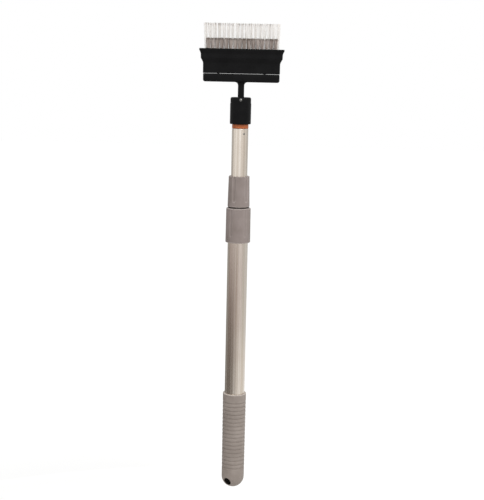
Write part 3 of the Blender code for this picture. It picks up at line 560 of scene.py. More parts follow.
def bristle_tree():
    """A row of tufts. The strands of a tuft stand in a sunflower spiral and lean apart. They sway, and they
    differ in length and shade."""
    kinds = dict.fromkeys(("Tuft Radius", "Spread", "Length", "Uneven", "Sway", "Filament Radius"), "Float")
    kinds.update(dict.fromkeys(("Tufts", "Strands", "Seed"), "Int"))
    kinds.update(dict.fromkeys(("Start", "Step", "Fan", "Rise"), "Vector"))
    tree, sizes = new_tree("bristle_row", kinds)
    index = add(tree, "GeometryNodeInputIndex")[0]
    # One tuft: points in a spiral, each with the way that it lies from the tuft's middle
    share = add(tree, "ShaderNodeMath", [index, sizes["Strands"]], operation="DIVIDE")[0]
    share = add(tree, "ShaderNodeMath", [share], operation="SQRT")[0]
    turn = add(tree, "ShaderNodeMath", [index, GOLDEN_ANGLE], operation="MULTIPLY")[0]
    aside = {"Vector": (1, 0, 0), "Angle": turn}
    aside = add(tree, "ShaderNodeVectorRotate", aside, rotation_type="Z_AXIS")[0]
    aside = add(tree, "ShaderNodeVectorMath", {0: aside, "Scale": share}, operation="SCALE")[0]
    place = add(tree, "ShaderNodeVectorMath", {0: aside, "Scale": sizes["Tuft Radius"]}, operation="SCALE")[0]
    strands = add(tree, "GeometryNodeMeshLine", {"Count": sizes["Strands"]})[0]
    tuft = {0: strands, "Name": "aside", "Value": aside}
    tuft = add(tree, "GeometryNodeStoreNamedAttribute", tuft, data_type="FLOAT_VECTOR", domain="POINT")[0]
    tuft = add(tree, "GeometryNodeSetPosition", {0: tuft, "Position": place})[0]
    # The row: one point for each strand
    line = {"Count": sizes["Tufts"], "Start Location": sizes["Start"], "Offset": sizes["Step"]}
    line = add(tree, "GeometryNodeMeshLine", line)[0]
    roots = add(tree, "GeometryNodeInstanceOnPoints", {"Points": line, "Instance": tuft})[0]
    roots = add(tree, "GeometryNodeRealizeInstances", [roots])[0]
    # One strand. Along rises from root to tip, and faster towards the tip, as a bend does
    strand = {"Vertices": FILAMENT_SIDES, "Side Segments": FILAMENT_STEPS, "Depth": sizes["Length"]}
    strand.update({"Radius Bottom": sizes["Filament Radius"], "Radius Top": sizes["Filament Radius"]})
    strand = add(tree, "GeometryNodeMeshCone", strand)[0]
    root = add(tree, "GeometryNodeInputPosition")[0]
    along = add(tree, "ShaderNodeSeparateXYZ", [root])[2]
    along = add(tree, "ShaderNodeMath", [along, sizes["Length"]], operation="DIVIDE")[0]
    along = add(tree, "ShaderNodeMath", [along, 2], operation="POWER")[0]
    strand = {0: strand, "Name": "along", "Value": along}
    strand = add(tree, "GeometryNodeStoreNamedAttribute", strand, data_type="FLOAT", domain="POINT")[0]
    # A strand's tip lies further out than its root: by the row's fan and lean, and by the tuft's spread
    heading = [root, sizes["Fan"], sizes["Rise"]]
    heading = add(tree, "ShaderNodeVectorMath", heading, operation="MULTIPLY_ADD")[0]
    aside = add(tree, "GeometryNodeInputNamedAttribute", {"Name": "aside"}, data_type="FLOAT_VECTOR")[0]
    apart = add(tree, "ShaderNodeVectorMath", {0: aside, "Scale": sizes["Spread"]}, operation="SCALE")[0]
    heading = add(tree, "ShaderNodeVectorMath", [heading, apart], operation="ADD")[0]
    turn = add(tree, "FunctionNodeAlignRotationToVector", {"Vector": heading}, axis="Z")[0]
    shortest = add(tree, "ShaderNodeMath", [sizes["Uneven"], sizes["Length"]], operation="DIVIDE")[0]
    shortest = add(tree, "ShaderNodeMath", [1, shortest], operation="SUBTRACT")[0]
    length = {2: shortest, 3: 1, "Seed": sizes["Seed"]}
    length = add(tree, "FunctionNodeRandomValue", length, data_type="FLOAT")[1]
    length = add(tree, "ShaderNodeCombineXYZ", [1, 1, length])[0]
    row = {"Points": roots, "Instance": strand, "Rotation": turn, "Scale": length}
    row = add(tree, "GeometryNodeInstanceOnPoints", row)[0]
    # Strands that stand together share part of their shade, so that a tuft shows as streaks
    seed = add(tree, "ShaderNodeMath", [sizes["Seed"], 1], operation="ADD")[0]
    own = {2: -OWN_SHADE, 3: OWN_SHADE, "Seed": seed}
    own = add(tree, "FunctionNodeRandomValue", own, data_type="FLOAT")[1]
    streak = add(tree, "ShaderNodeTexNoise", {"Vector": root, "Scale": 1 / STREAK, "Detail": 1})[0]
    streak = add(tree, "ShaderNodeMapRange", {"Value": streak, "From Min": 0.3, "From Max": 0.7})[0]
    shade = add(tree, "ShaderNodeMath", [streak, own], operation="ADD")[0]
    row = {0: row, "Name": "shade", "Value": shade}
    row = add(tree, "GeometryNodeStoreNamedAttribute", row, data_type="FLOAT", domain="INSTANCE")[0]
    seed = add(tree, "ShaderNodeMath", [sizes["Seed"], 2], operation="ADD")[0]
    sway = {0: (-1, -1, 0), 1: (1, 1, 0), "Seed": seed}
    sway = add(tree, "FunctionNodeRandomValue", sway, data_type="FLOAT_VECTOR")[0]
    row = {0: row, "Name": "sway", "Value": sway}
    row = add(tree, "GeometryNodeStoreNamedAttribute", row, data_type="FLOAT_VECTOR", domain="INSTANCE")[0]
    row = add(tree, "GeometryNodeRealizeInstances", [row])[0]
    sway = add(tree, "GeometryNodeInputNamedAttribute", {"Name": "sway"}, data_type="FLOAT_VECTOR")[0]
    along = add(tree, "GeometryNodeInputNamedAttribute", {"Name": "along"}, data_type="FLOAT")[0]
    reach = add(tree, "ShaderNodeMath", [along, sizes["Sway"]], operation="MULTIPLY")[0]
    offset = add(tree, "ShaderNodeVectorMath", {0: sway, "Scale": reach}, operation="SCALE")[0]
    return end_tree(tree, add(tree, "GeometryNodeSetPosition", {0: row, "Offset": offset})[0])


# Pieces of the pole


def make_grip():
    """The grip with its domed end and its ribs. The hang hole's lips are smoothed, and its wall is marked for
    painted shade.
    """
    foot, top = GRIP_BOX[0].z, GRIP_BOX[1].z
    bore = GRIP_RADIUS - GRIP_WALL
    rim = GRIP_RADIUS + GRIP_TAPER
    outline = arc((0, foot + GRIP_RADIUS), GRIP_RADIUS, -90, 0, steps=40)
    outline += stepped(outline[-1], (rim, top - GRIP_RIM_ROUND), GRIP_ROW)
    outline += arc((rim - GRIP_RIM_ROUND, top - GRIP_RIM_ROUND), GRIP_RIM_ROUND, 0, 90)[1:]
    outline += [(bore, top), (bore, foot + GRIP_FLOOR_HEIGHT), (0, foot + GRIP_FLOOR_HEIGHT)]
    grip = shape("grip_skin", turned(outline, FINE_TURN, closed=False))
    reach = GRIP_RADIUS + OVERRUN
    sides = stepped((HANG_HOLE_RADIUS, -reach), (HANG_HOLE_RADIUS, reach), HANG_HOLE_ROW)
    hole = turned([(0, -reach), (HANG_HOLE_RADIUS, -reach), *sides, (0, reach)], 2 * SMALL_TURN, closed=False)
    centre = Vector((0, 0, foot + HANG_HOLE_HEIGHT))
    cut(grip, placed(hole, centre, (math.radians(90), 0, HANG_HOLE_TURN)))
    mark_edges(grip)
    across = Vector((math.cos(HANG_HOLE_TURN), math.sin(HANG_HOLE_TURN), 0))
    dome = Vector((0, 0, foot + GRIP_RADIUS))
    bm = bmesh.new()
    bm.from_mesh(grip.data)
    edge = bm.verts.layers.float["edge"]
    grime = bm.verts.layers.float.new("grime")
    lip = []
    for vert in bm.verts:
        beside = vert.co - centre
        from_hole = math.hypot(beside.dot(across), beside.z) - HANG_HOLE_RADIUS
        from_skin = (vert.co.xy.length if vert.co.z > dome.z else (vert.co - dome).length) - GRIP_RADIUS
        if abs(from_hole) < LIP_REACH and abs(from_skin) < LIP_REACH:
            lip.append(vert)
        # The hole's wall gets painted shade that deepens inwards, and no pale edge
        if from_hole < HANG_HOLE_ROW:
            vert[grime] = min(1, max(0, -from_skin / HOLE_SHADE_DEPTH))
            vert[edge] = 0
    for _ in range(LIP_PASSES):
        bmesh.ops.smooth_vert(bm, verts=lip, factor=0.5, use_axis_x=True, use_axis_y=True, use_axis_z=True)
    bm.to_mesh(grip.data)
    bm.free()
    span = (GROOVE_COUNT - 1) * GROOVE_PITCH
    first = top - TOP_GROOVE_DROP - span
    values = {"First": first, "Middle": first + span / 2, "Half Span": (span + GROOVE_PITCH) / 2}
    values.update({"Half Pitch": GROOVE_PITCH / 2, "Half Width": GROOVE_WIDTH / 2, "Depth": GROOVE_DEPTH})
    grow(rib_tree(), {**values, "Skin Radius": bore + FIT_GAP}, grip)
    finished(grip, "grip_skin", "grip_section", ["grip"], "grip_grey")


def make_tube(node, body):
    """A drawn tube with its cut ends rounded."""
    low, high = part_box(node)
    radius = high.x
    bore = radius - TUBE_WALL
    edge = TUBE_EDGE_ROUND
    outline = [(bore, low.z + edge), (bore + edge, low.z)]
    outline += arc((radius - edge, low.z + edge), edge, -90, 0, steps=3)
    # These two rings keep the long wall's shading straight
    outline += [(radius, low.z + 3 * edge), (radius, high.z - 3 * edge)]
    outline += arc((radius - edge, high.z - edge), edge, 0, 90, steps=3)
    outline += [(bore + edge, high.z), (bore, high.z - edge)]
    tube = shape(node, turned(outline, FINE_TURN))
    finished(tube, node + "_skin", body, [node], "tube_aluminium")


def make_collar(node, body, sizes, passing_tube):
    """A lock collar with soft finger flutes, each pressed by a long round-ended tool."""
    low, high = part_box(node)
    length = high.z - low.z
    foot = high.x
    top = foot - sizes["taper"]
    chamfer = sizes["chamfer"]
    half = length * (FLUTE_TOP_SHARE - FLUTE_FOOT_SHARE) / 2
    middle = low.z + length * (FLUTE_TOP_SHARE + FLUTE_FOOT_SHARE) / 2
    step = math.tau / FLUTE_COUNT
    turn = math.radians(90 - sizes["turn"])

    def dent(angle, radius, height):
        if radius < top - chamfer:
            return radius
        lean = sizes["taper"] * (height - low.z) / length
        centre = foot - lean + FLUTE_TOOL - sizes["depth"]
        past = max(0, abs(height - middle) - half)
        tool = math.sqrt(max(0, FLUTE_TOOL**2 - past**2))
        off = (angle + turn + step / 2) % step - step / 2
        side = centre * math.sin(off)
        if abs(side) >= tool:
            return radius
        # The press and the skin meet in a small round, not in a crease
        pressed = centre * math.cos(off) - math.sqrt(tool**2 - side**2)
        gap = min((radius - pressed) / FLUTE_SOFTNESS, FLUTE_ROUND_END)
        if gap <= FLUTE_ROUND_START:
            return radius
        return radius - FLUTE_SOFTNESS * math.log1p(math.exp(gap))

    # Inside, a mouth fits round the passing tube and opens into the wider bore
    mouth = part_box(passing_tube)[1].x + COLLAR_CLEARANCE
    bore = sizes["bore"]
    outline = [(bore, low.z), (foot - chamfer / 2, low.z), (foot, low.z + chamfer / 2)]
    outline += stepped(outline[-1], (top, high.z - chamfer), COLLAR_ROW)
    outline += arc((top - chamfer, high.z - chamfer), chamfer, 0, 90)[1:]
    outline += [(mouth, high.z), (mouth, high.z - 3 * chamfer), (bore, high.z - COLLAR_SHOULDER_DEPTH)]
    collar = shape(node, turned(outline, 2 * FINE_TURN, dent=dent))
    mark_edges(collar)
    finished(collar, node + "_skin", body, [node], "collar_grey")


def make_upper_sleeve():
    """The sleeve under the upper collar, with the flange that shows between the two collars."""
    low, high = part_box("upper_thread_sleeve")
    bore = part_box("middle_tube")[1].x + FIT_GAP
    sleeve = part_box("upper_collet")[1].x + FIT_GAP
    edge = TUBE_EDGE_ROUND
    flange = high.x
    flange_top = low.z + SLEEVE_FLANGE_HEIGHT
    outline = [(bore, low.z), (flange - edge, low.z), (flange, low.z + edge), (flange, flange_top - edge)]
    outline += [(flange - edge, flange_top), (sleeve, flange_top), (sleeve, high.z), (bore, high.z)]
    piece = shape("upper_sleeve", turned(outline, FINE_TURN))
    nodes = ["upper_thread_sleeve"]
    finished(piece, "upper_thread_sleeve_skin", "middle_section", nodes, "lock_dark")


def make_tip():
    """The orange tip, with the round-edged flange that shows between the thin tube and the socket."""
    low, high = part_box("threaded_tip")
    flange_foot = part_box("inner_tube")[1].z + FIT_GAP
    flange_top = flange_foot + TIP_FLANGE_HEIGHT
    radius = high.x
    edge = TIP_FLANGE_ROUND
    outline = [(0, low.z), (TIP_PLUG_RADIUS, low.z), (TIP_PLUG_RADIUS, flange_foot)]
    outline += arc((radius - edge, flange_foot + edge), edge, -90, 0)
    outline += arc((radius - edge, flange_top - edge), edge, 0, 90)
    outline += [(TIP_STUD_RADIUS, flange_top), (TIP_STUD_RADIUS, high.z), (0, high.z)]
    tip = shape("tip", turned(outline, FINE_TURN, closed=False))
    mark_edges(tip)
    finished(tip, "threaded_tip_skin", "inner_section", ["threaded_tip"], "tip_orange")


def make_tip_rivets(tree):
    """Two low rivets on opposite sides of the thin tube, which hold the tip."""
    low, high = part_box("tip_rivet_front")
    middle = (low + high) / 2
    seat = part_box("inner_tube")[1].x + TIP_RIVET_LIFT
    foot = seat - TIP_RIVET_DEPTH
    head = TIP_RIVET_HEAD
    rise = TIP_RIVET_RISE
    outline = [(0, foot), (TIP_RIVET_SHANK, foot), (TIP_RIVET_SHANK, seat), (head, seat)]
    outline += [(head * math.cos(a), seat + rise * math.sin(a)) for a in TIP_RIVET_DOME]
    outline += [(0, seat + rise)]
    rivet = turned(outline, FASTENER_TURN, closed=False)
    rivet = shape("rivet", placed(rivet, (0, 0, middle.z), (math.radians(90), 0, TIP_RIVET_TURN)))
    both = copied(tree, rivet, 2, (0, 0, 0), (0, 0, 0), math.pi)
    nodes = ["tip_rivet_front", "tip_rivet_back"]
    finished(both, "tip_rivets", "inner_section", nodes, "rivet_steel")


def make_socket():
    """The round socket, with the fork slot, the pivot hole and the recesses of the rivet heads."""
    low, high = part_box("fork_socket")
    radius = high.x
    inside = low.z + SOCKET_BORE_DEPTH
    outline = [(0, inside), (SOCKET_BORE, inside), (SOCKET_BORE, low.z)]
    foot = SOCKET_FOOT_ROUND
    outline += arc((radius - foot, low.z + foot), foot, -90, 0)
    top = SOCKET_TOP_ROUND
    outline += stepped(outline[-1], (radius, high.z - top), SOCKET_ROW)
    outline += arc((radius - top, high.z - top), top, 0, 90, steps=8)[1:]
    outline += stepped(outline[-1], (0, high.z), SOCKET_TOP_ROW)
    socket = shape("socket", turned(outline, 2 * SMALL_TURN, closed=False))
    pivot = high.z - PIVOT_DROP
    reach = radius + OVERRUN
    half = SLOT_WIDTH / 2
    cut(socket, block((-reach, -half, pivot - SLOT_DEPTH), (reach, half, high.z + OVERRUN)))
    drill(socket, rod(PIVOT_HOLE, -reach, reach), (0, 0, pivot), ALONG_Y)
    for side in (-1, 1):
        start, end = sorted((side * (radius - PIVOT_RECESS_DEPTH), side * reach))
        drill(socket, rod(PIVOT_RECESS, start, end), (0, 0, pivot), ALONG_Y)
    bevelled(socket, SOCKET_EDGE)
    finished(socket, "fork_socket_skin", "inner_section", ["fork_socket"], "head_black")


def make_pivot_rivet():
    """The rivet that the stalk tilts on, with low domed heads."""
    low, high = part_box("pivot_rivet")
    centre = (low + high) / 2
    head = high.x
    reach = high.y
    half = [(PIVOT_SHANK, reach - PIVOT_HEAD[0][1])]
    half += [(head - inset, reach - depth) for inset, depth in PIVOT_HEAD]
    half += [(head * PIVOT_CROWN_SHARE, reach), (0, reach)]
    outline = [(r, -z) for r, z in reversed(half)] + half
    rivet = shape("pivot", placed(turned(outline, FASTENER_TURN, closed=False), centre, ALONG_Y))
    finished(rivet, "pivot_rivet_skin", "inner_section", ["pivot_rivet"], "rivet_steel")


# Pieces of the brush head


def make_base():
    """The bar under the holder, with the flat stalk that grows out of it in two fillets."""
    low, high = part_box("brush_base")
    pivot = low.z + STALK_WIDTH / 2
    foot = pivot + STALK_LENGTH
    profile = arc((-BASE_FOOT_ROUND, foot + BASE_FOOT_ROUND), BASE_FOOT_ROUND, -90, 0, steps=8)
    profile += arc((-BASE_TOP_ROUND, high.z - BASE_TOP_ROUND), BASE_TOP_ROUND, 0, 90, steps=6)
    loops = [rounded_loop(high.x + inset, high.y + inset, BASE_CORNER + inset, z) for inset, z in profile]
    base = shape("base", lofted(loops))
    half = STALK_WIDTH / 2
    side = half + STALK_FILLET
    outline = arc((0, pivot), half, 180, 360, steps=24)
    outline += reversed(arc((side, foot - STALK_FILLET), STALK_FILLET, 90, 180, steps=10))
    outline += [(side, foot + BASE_FOOT_ROUND), (-side, foot + BASE_FOOT_ROUND)]
    outline += reversed(arc((-side, foot - STALK_FILLET), STALK_FILLET, 0, 90, steps=10))
    bm = bmesh.new()
    face = bm.faces.new([bm.verts.new((x, -STALK_DEPTH / 2, z)) for x, z in outline])
    made = bmesh.ops.extrude_face_region(bm, geom=[face])
    moved = [item for item in made["geom"] if isinstance(item, bmesh.types.BMVert)]
    bmesh.ops.translate(bm, verts=moved, vec=(0, STALK_DEPTH, 0))
    # Only the two flat sides have more than four corners
    rims = [edge for flat in bm.faces if len(flat.verts) > 4 for edge in flat.edges]
    rounded = {"segments": 3, "profile": 0.5, "affect": "EDGES", "clamp_overlap": True}
    bmesh.ops.bevel(bm, geom=rims, offset=STALK_EDGE, **rounded)
    cut(base, bm, "UNION")
    drill(base, rod(PIVOT_HOLE, -STALK_DEPTH, STALK_DEPTH), (0, 0, pivot), ALONG_Y)
    recess = [(0, -OVERRUN), (SCREW_RECESS, -OVERRUN), (SCREW_RECESS, SCREW_RECESS_DEPTH)]
    recess += [(SCREW_HOLE, SCREW_RECESS_DEPTH), (SCREW_HOLE, SCREW_HOLE_DEPTH), (0, SCREW_HOLE_DEPTH)]
    for place in (-SCREW_PLACE, SCREW_PLACE):
        drill(base, recess, (place, 0, foot))
    finished(base, "brush_base_skin", "brush_head", ["brush_base"], "head_black")


def flare_points(low, high):
    """The holder's splined outer outline from its foot up: reach past the straight wall, and height."""
    knots = [Vector((reach, high.z - depth)) for depth, reach in reversed(FLARE)]
    points = [(0, low.z + HOLDER_LIP_ROUND)]
    ends = [knots[0] - (knots[1] - knots[0])] + knots + [knots[-1]]
    for before, start, end, after in zip(ends, ends[1:], ends[2:], ends[3:]):
        for t in (0, 0.25, 0.5, 0.75):
            spline = 2 * start + (end - before) * t + (2 * before - 5 * start + 4 * end - after) * t**2
            spline += (3 * start - before - 3 * end + after) * t**3
            points.append(tuple(spline / 2))
    return points


def make_holder():
    """The thin-walled holder round the tufts, with its splined flare and a rounded lip."""
    low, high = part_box("bristle_holder")
    reach = FLARE[0][1]
    half_x = high.x - reach
    half_y = high.y - reach * FLARE_FRONT_SHARE
    lip = HOLDER_LIP_ROUND
    floor = low.z + HOLDER_FLOOR
    outer = [point for point in flare_points(low, high) if point[1] < high.z - lip]
    # Each loop's reach past the straight wall, inset and height
    loops = [(0, -lip, low.z)]
    loops += [(flare, 0, height) for flare, height in outer]
    loops += [(reach, inset, z) for inset, z in arc((-lip, high.z - lip), lip, 0, 90, steps=4)]
    loops += [(reach, inset, z) for inset, z in arc((lip - HOLDER_WALL, high.z - lip), lip, 90, 180, steps=4)]
    loops += [(flare, -HOLDER_WALL, height) for flare, height in reversed(outer) if height > floor]
    loops.append((0, -HOLDER_WALL, floor))
    made = []
    for flare, inset, height in loops:
        front = flare * FLARE_FRONT_SHARE + inset
        side = half_x + flare + inset
        made.append(rounded_loop(side, half_y + front, HOLDER_CORNER + front, height, steps=10))
    holder = shape("holder", lofted(made))
    finished(holder, "bristle_holder_skin", "brush_head", ["bristle_holder"], "head_black")


def make_screws(tree):
    """Two slotted screws in the base's underside."""
    low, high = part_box("head_screw_left")
    radius = SCREW_HEAD
    seat = low.z + SCREW_HEAD_HEIGHT
    outline = [(0, low.z)] + [(radius * share, low.z + rise) for share, rise in SCREW_DOME]
    outline += [(radius, seat), (SCREW_SHANK, seat), (SCREW_SHANK, high.z - SCREW_SHANK), (0, high.z)]
    screw = shape("screw", turned(outline, FASTENER_TURN, closed=False))
    half = SCREW_SLOT / 2
    cut(screw, block((-2 * radius, -half, low.z - OVERRUN), (2 * radius, half, low.z + SCREW_SLOT)))
    start = (-SCREW_PLACE, 0, 0)
    both = copied(tree, screw, 2, start, (2 * SCREW_PLACE, 0, 0), SCREW_TURN)
    nodes = ["head_screw_left", "head_screw_right"]
    finished(both, "head_screws", "brush_head", nodes, "rivet_steel")


def make_tuft_face(tree):
    """The face that the tufts stand in, with a low collar round each tuft."""
    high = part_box("front_short_bristles")[1]
    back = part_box("back_short_bristles")[1]
    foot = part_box("long_bristles")[0].z
    top = foot + TUFT_FACE_HEIGHT
    edge = TUFT_FACE_EDGE
    corner = TUFT_FACE_CORNER
    half_x, half_y = high.x, back.y - SHORT_ROW["Lean"]
    loops = [rounded_loop(half_x, half_y, corner, foot), rounded_loop(half_x, half_y, corner, top - edge)]
    loops.append(rounded_loop(half_x - edge, half_y - edge, corner - edge, top))
    face = shape("tuft_face", lofted(loops))
    for row, sizes in ((0, LONG_ROW), (-1, SHORT_ROW), (1, SHORT_ROW)):
        radius = sizes["Tuft Radius"]
        outline = [(radius, top - edge), (radius + 2 * edge, top - edge)]
        outline += [(radius + edge, top + edge), (radius, top + edge)]
        collar = shape("tuft_collar", turned(outline, FASTENER_TURN))
        start = (-(sizes["Tufts"] - 1) * TUFT_PITCH / 2, row * ROW_PITCH, 0)
        collars = copied(tree, collar, sizes["Tufts"], start, (TUFT_PITCH, 0, 0), 0.0)
        bm = bmesh.new()
        bm.from_mesh(face.data)
        bm.from_mesh(collars.data)
        bm.to_mesh(face.data)
        bm.free()
        bpy.data.objects.remove(collars)
    nodes = ["long_bristles", "front_short_bristles", "back_short_bristles"]
    finished(face, "tuft_face", "brush_head", nodes, "head_black")


def make_bristles(tree, node, row, side, sizes, slot):
    """One row of tufts in place of its strip."""
    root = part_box(node)[0].z + TUFT_ROOT_HEIGHT
    start = (-(sizes["Tufts"] - 1) * TUFT_PITCH / 2, side * ROW_PITCH, root)
    values = {**sizes, "Seed": sizes["Seed"] + row, "Start": start, "Step": (TUFT_PITCH, 0, 0)}
    values.update({"Fan": (FAN_SHARE, 0, 0), "Rise": (0, side * sizes["Lean"], sizes["Length"])})
    values["Filament Radius"] = FILAMENT / 2
    finished(grow(tree, values), node + "_strands", "brush_head", [node], slot)


# Stage


def sees_backdrop(tree):
    """One for the rays that show the white backdrop: straight to the camera, off metal and through glass."""
    rays = add(tree, "ShaderNodeLightPath")
    seen = [rays["Is Camera Ray"], rays["Is Glossy Ray"]]
    seen = add(tree, "ShaderNodeMath", seen, operation="MAXIMUM")[0]
    return add(tree, "ShaderNodeMath", [seen, rays["Is Transmission Ray"]], operation="MAXIMUM")[0]


def make_floor():
    """A wide pale floor under the pole. It looks as bright as the backdrop, with the shadow on it."""
    bm = bmesh.new()
    bmesh.ops.create_grid(bm, x_segments=1, y_segments=1, size=FLOOR_SIZE)
    floor = shape("studio_floor", placed(bm, (0, 0, FLOOR_HEIGHT)))
    # Matt studio paper: off-white, and not quite even
    material, tree = new_material("matt_studio_paper")
    place = add(tree, "ShaderNodeTexCoord")["Object"]
    drift = add(tree, "ShaderNodeTexNoise", {"Vector": place, "Scale": 2})[0]
    blend = {0: drift, 6: colour("#EDEDEB"), 7: colour("#F2F2F0")}
    tone = add(tree, "ShaderNodeMix", blend, data_type="RGBA")[2]
    paper = add(tree, "ShaderNodeBsdfDiffuse", [tone])[0]
    glow = add(tree, "ShaderNodeEmission", {"Strength": BACKDROP_GLOW})[0]
    share = add(tree, "ShaderNodeMath", [sees_backdrop(tree), BACKDROP_SHARE], operation="MULTIPLY")[0]
    lit = add(tree, "ShaderNodeMixShader", [share, paper, glow])[0]
    add(tree, "ShaderNodeOutputMaterial", [lit])
    floor.data.materials.append(material)


def make_world():
    """Soft room light, fuller from the right and above, behind a plain white backdrop."""
    world = bpy.data.worlds.new("soft_room")
    bpy.context.scene.world = world
    world.use_nodes = True
    tree = world.node_tree
    tree.nodes.clear()
    heading = add(tree, "ShaderNodeTexCoord")["Generated"]
    toward = add(tree, "ShaderNodeVectorMath", [heading, ROOM_TOWARD], operation="DOT_PRODUCT")["Value"]
    room = {"Value": toward, "From Min": -1, "To Min": ROOM_LIGHT[0], "To Max": ROOM_LIGHT[1]}
    room = add(tree, "ShaderNodeMapRange", room)[0]
    strength = add(tree, "ShaderNodeMix", {0: sees_backdrop(tree), 2: room, 3: 1.0}, data_type="FLOAT")[0]
    light = add(tree, "ShaderNodeBackground", {"Color": colour("#FFFFFF"), "Strength": strength})[0]
    add(tree, "ShaderNodeOutputWorld", [light])


def make_panel(name, start, end, heights, left_tones, right_tones=None):
    """A curved light panel out of the camera's sight, which the metal mirrors. Its start and end are angles
    round the pole, in degrees from the front. Its tones change with height. Where it has two sets of them,
    the left ones pass into the right ones round the pole, sooner the higher it is."""
    bm = bmesh.new()
    ends = []
    for i in range(PANEL_STEPS + 1):
        angle = math.radians(start + (end - start) * i / PANEL_STEPS)
        x, y = PANEL_RADIUS * math.sin(angle), -PANEL_RADIUS * math.cos(angle)
        ends.append((bm.verts.new((x, y, heights[0])), bm.verts.new((x, y, heights[-1]))))
    for before, after in zip(ends, ends[1:]):
        bm.faces.new((before[0], after[0], after[1], before[1]))
    panel = shape(name, bm)
    # Diffuser film with a printed gradient, lit from behind, so that its tones are soft and even
    material, tree = new_material(name + "_film")
    place = add(tree, "ShaderNodeTexCoord")["Object"]
    height = add(tree, "ShaderNodeSeparateXYZ", [place])[2]
    sides = []
    for tones in (right_tones or left_tones, left_tones):
        tone = colour(tones[0])
        for low, high, next_tone in zip(heights, heights[1:], tones[1:]):
            share = add(tree, "ShaderNodeMapRange", {"Value": height, "From Min": low, "From Max": high})[0]
            tone = add(tree, "ShaderNodeMix", {0: share, 6: tone, 7: colour(next_tone)}, data_type="RGBA")[2]
        sides.append(tone)
    left = add(tree, "ShaderNodeVectorMath", [place, PRINT_WAY], operation="DOT_PRODUCT")["Value"]
    left = {"Value": left, "From Min": PRINT_END * PANEL_RADIUS, "From Max": PANEL_RADIUS}
    left = add(tree, "ShaderNodeMapRange", left)[0]
    power = {"Value": height, "From Min": PRINT_HEIGHTS[0], "From Max": PRINT_HEIGHTS[1]}
    power.update({"To Min": PRINT_POWERS[0], "To Max": PRINT_POWERS[1]})
    power = add(tree, "ShaderNodeMapRange", power)[0]
    left = add(tree, "ShaderNodeMath", [left, power], operation="POWER")[0]
    tone = add(tree, "ShaderNodeMix", {0: left, 6: sides[0], 7: sides[1]}, data_type="RGBA")[2]
    add(tree, "ShaderNodeOutputMaterial", [add(tree, "ShaderNodeEmission", {"Color": tone})[0]])
    panel.data.materials.append(material)
    panel.visible_camera = False


def make_lamp(name, location, target, size, power):
    """A soft square lamp that looks at a point."""
    lamp = bpy.data.lights.new(name, "AREA")
    lamp.size = size
    lamp.energy = power
    obj = bpy.data.objects.new(name, lamp)
    obj.location = location
    obj.rotation_euler = (Vector(target) - Vector(location)).to_track_quat("-Z", "Y").to_euler()
    bpy.context.scene.collection.objects.link(obj)


def make_camera():
    """The photograph's view: a little from above, rolled so that the pole leans right."""
    camera = bpy.data.cameras.new("photo_camera")
    camera.sensor_width = SENSOR_WIDTH
    camera.lens = FOCAL_LENGTH_PIXELS / FRAME_HEIGHT * SENSOR_WIDTH
    camera.clip_end = 100
    obj = bpy.data.objects.new("photo_camera", camera)
    ahead = Vector((0, math.cos(CAMERA_PITCH), -math.sin(CAMERA_PITCH)))
    obj.location = LOOK_AT - ahead * CAMERA_DISTANCE
    obj.rotation_mode = "QUATERNION"
    obj.rotation_quaternion = ahead.to_track_quat("-Z", "Y") @ Quaternion((0, 0, 1), CAMERA_ROLL)
    bpy.context.scene.collection.objects.link(obj)
    bpy.context.scene.camera = obj


bpy.context.scene.view_settings.view_transform = "Standard"
make_camera()
make_world()
make_floor()
# The tubes mirror these panels as bands: dark on the left, and darkest low down
heights = (-0.49, -0.27, -0.11, 0.08, 0.17)
left_tones = ("#57524C", "#615C56", "#817571", "#B7AAA8", "#E0DFDE")
right_tones = ("#F4F4F3", "#F0F0EF", "#BFB4B1", "#B4AAA7", "#FFFFFF")
make_panel("front_panel", -102, 62, heights, left_tones, right_tones)
tones = ("#FFFFFF", "#FFFFFF", "#DCDCDB", "#CCCCCB")
make_panel("right_panel", 62, 104, (-0.49, -0.25, -0.15, 0.17), tones)
tones = ("#EAE8E5", "#EAE8E5")
make_panel("upper_left_panel", -102, -68, (0.17, 0.55), tones, ("#F2F1EF", "#F2F1EF"))
make_panel("upper_right_panel", 50, 104, (0.17, 0.55), ("#E2E0DD", "#E2E0DD"))
# Two flags, half behind the pole, keep the tubes' rims darker than the white backdrop
tones = ("#7A7672", "#8A8784", "#A6A5A3", "#BCBBBA", "#C0C0BF")
make_panel("left_flag", -172, -102, (-0.49, -0.25, -0.04, 0.24, 0.55), tones)
tones = ("#F4F4F3", "#F4F4F3", "#D6D6D5", "#CACAC9", "#C0C0BF")
make_panel("right_flag", 104, 172, (-0.49, -0.25, -0.15, 0.24, 0.55), tones)
make_lamp("key_softbox", (0.6, -1.4, 2.0), (0, 0, 0.25), size=0.8, power=24)

# The finish of each slot
FINISHES = {}

# Soft-touch polypropylene, moulded with an eroded grain: matt and warm grey. Its grooves are darkened as
# painted shade, the hang hole's wall is painted dark as shade, and the rim is paler, as wear and a painted
# highlight.
FINISHES["grip_grey"] = moulded(
    "soft_touch_polypropylene", ("#90867F", "#9C928B"), mottle=0.02, grain=0.0006,
    roughness=(0.56, 0.68), relief=0.00012, surface={"IOR": 1.49, "Specular IOR Level": 0.3},
    marks=(("groove", "#6A6159", 0.34), ("edge", "#D8D0C8", 0.95), ("grime", "#15110D", 0.97)),
)
# Injection-moulded ABS: even warm grey. Its satin grain keeps highlights broad. Paler edges: wear and painted
# highlight.
FINISHES["collar_grey"] = moulded(
    "moulded_abs", ("#847974", "#908581"), mottle=0.018, grain=0.0004,
    roughness=(0.42, 0.54), relief=0.00006, surface={"IOR": 1.53, "Specular IOR Level": 0.3},
    marks=(("edge", "#C9C1BB", 0.42),),
)
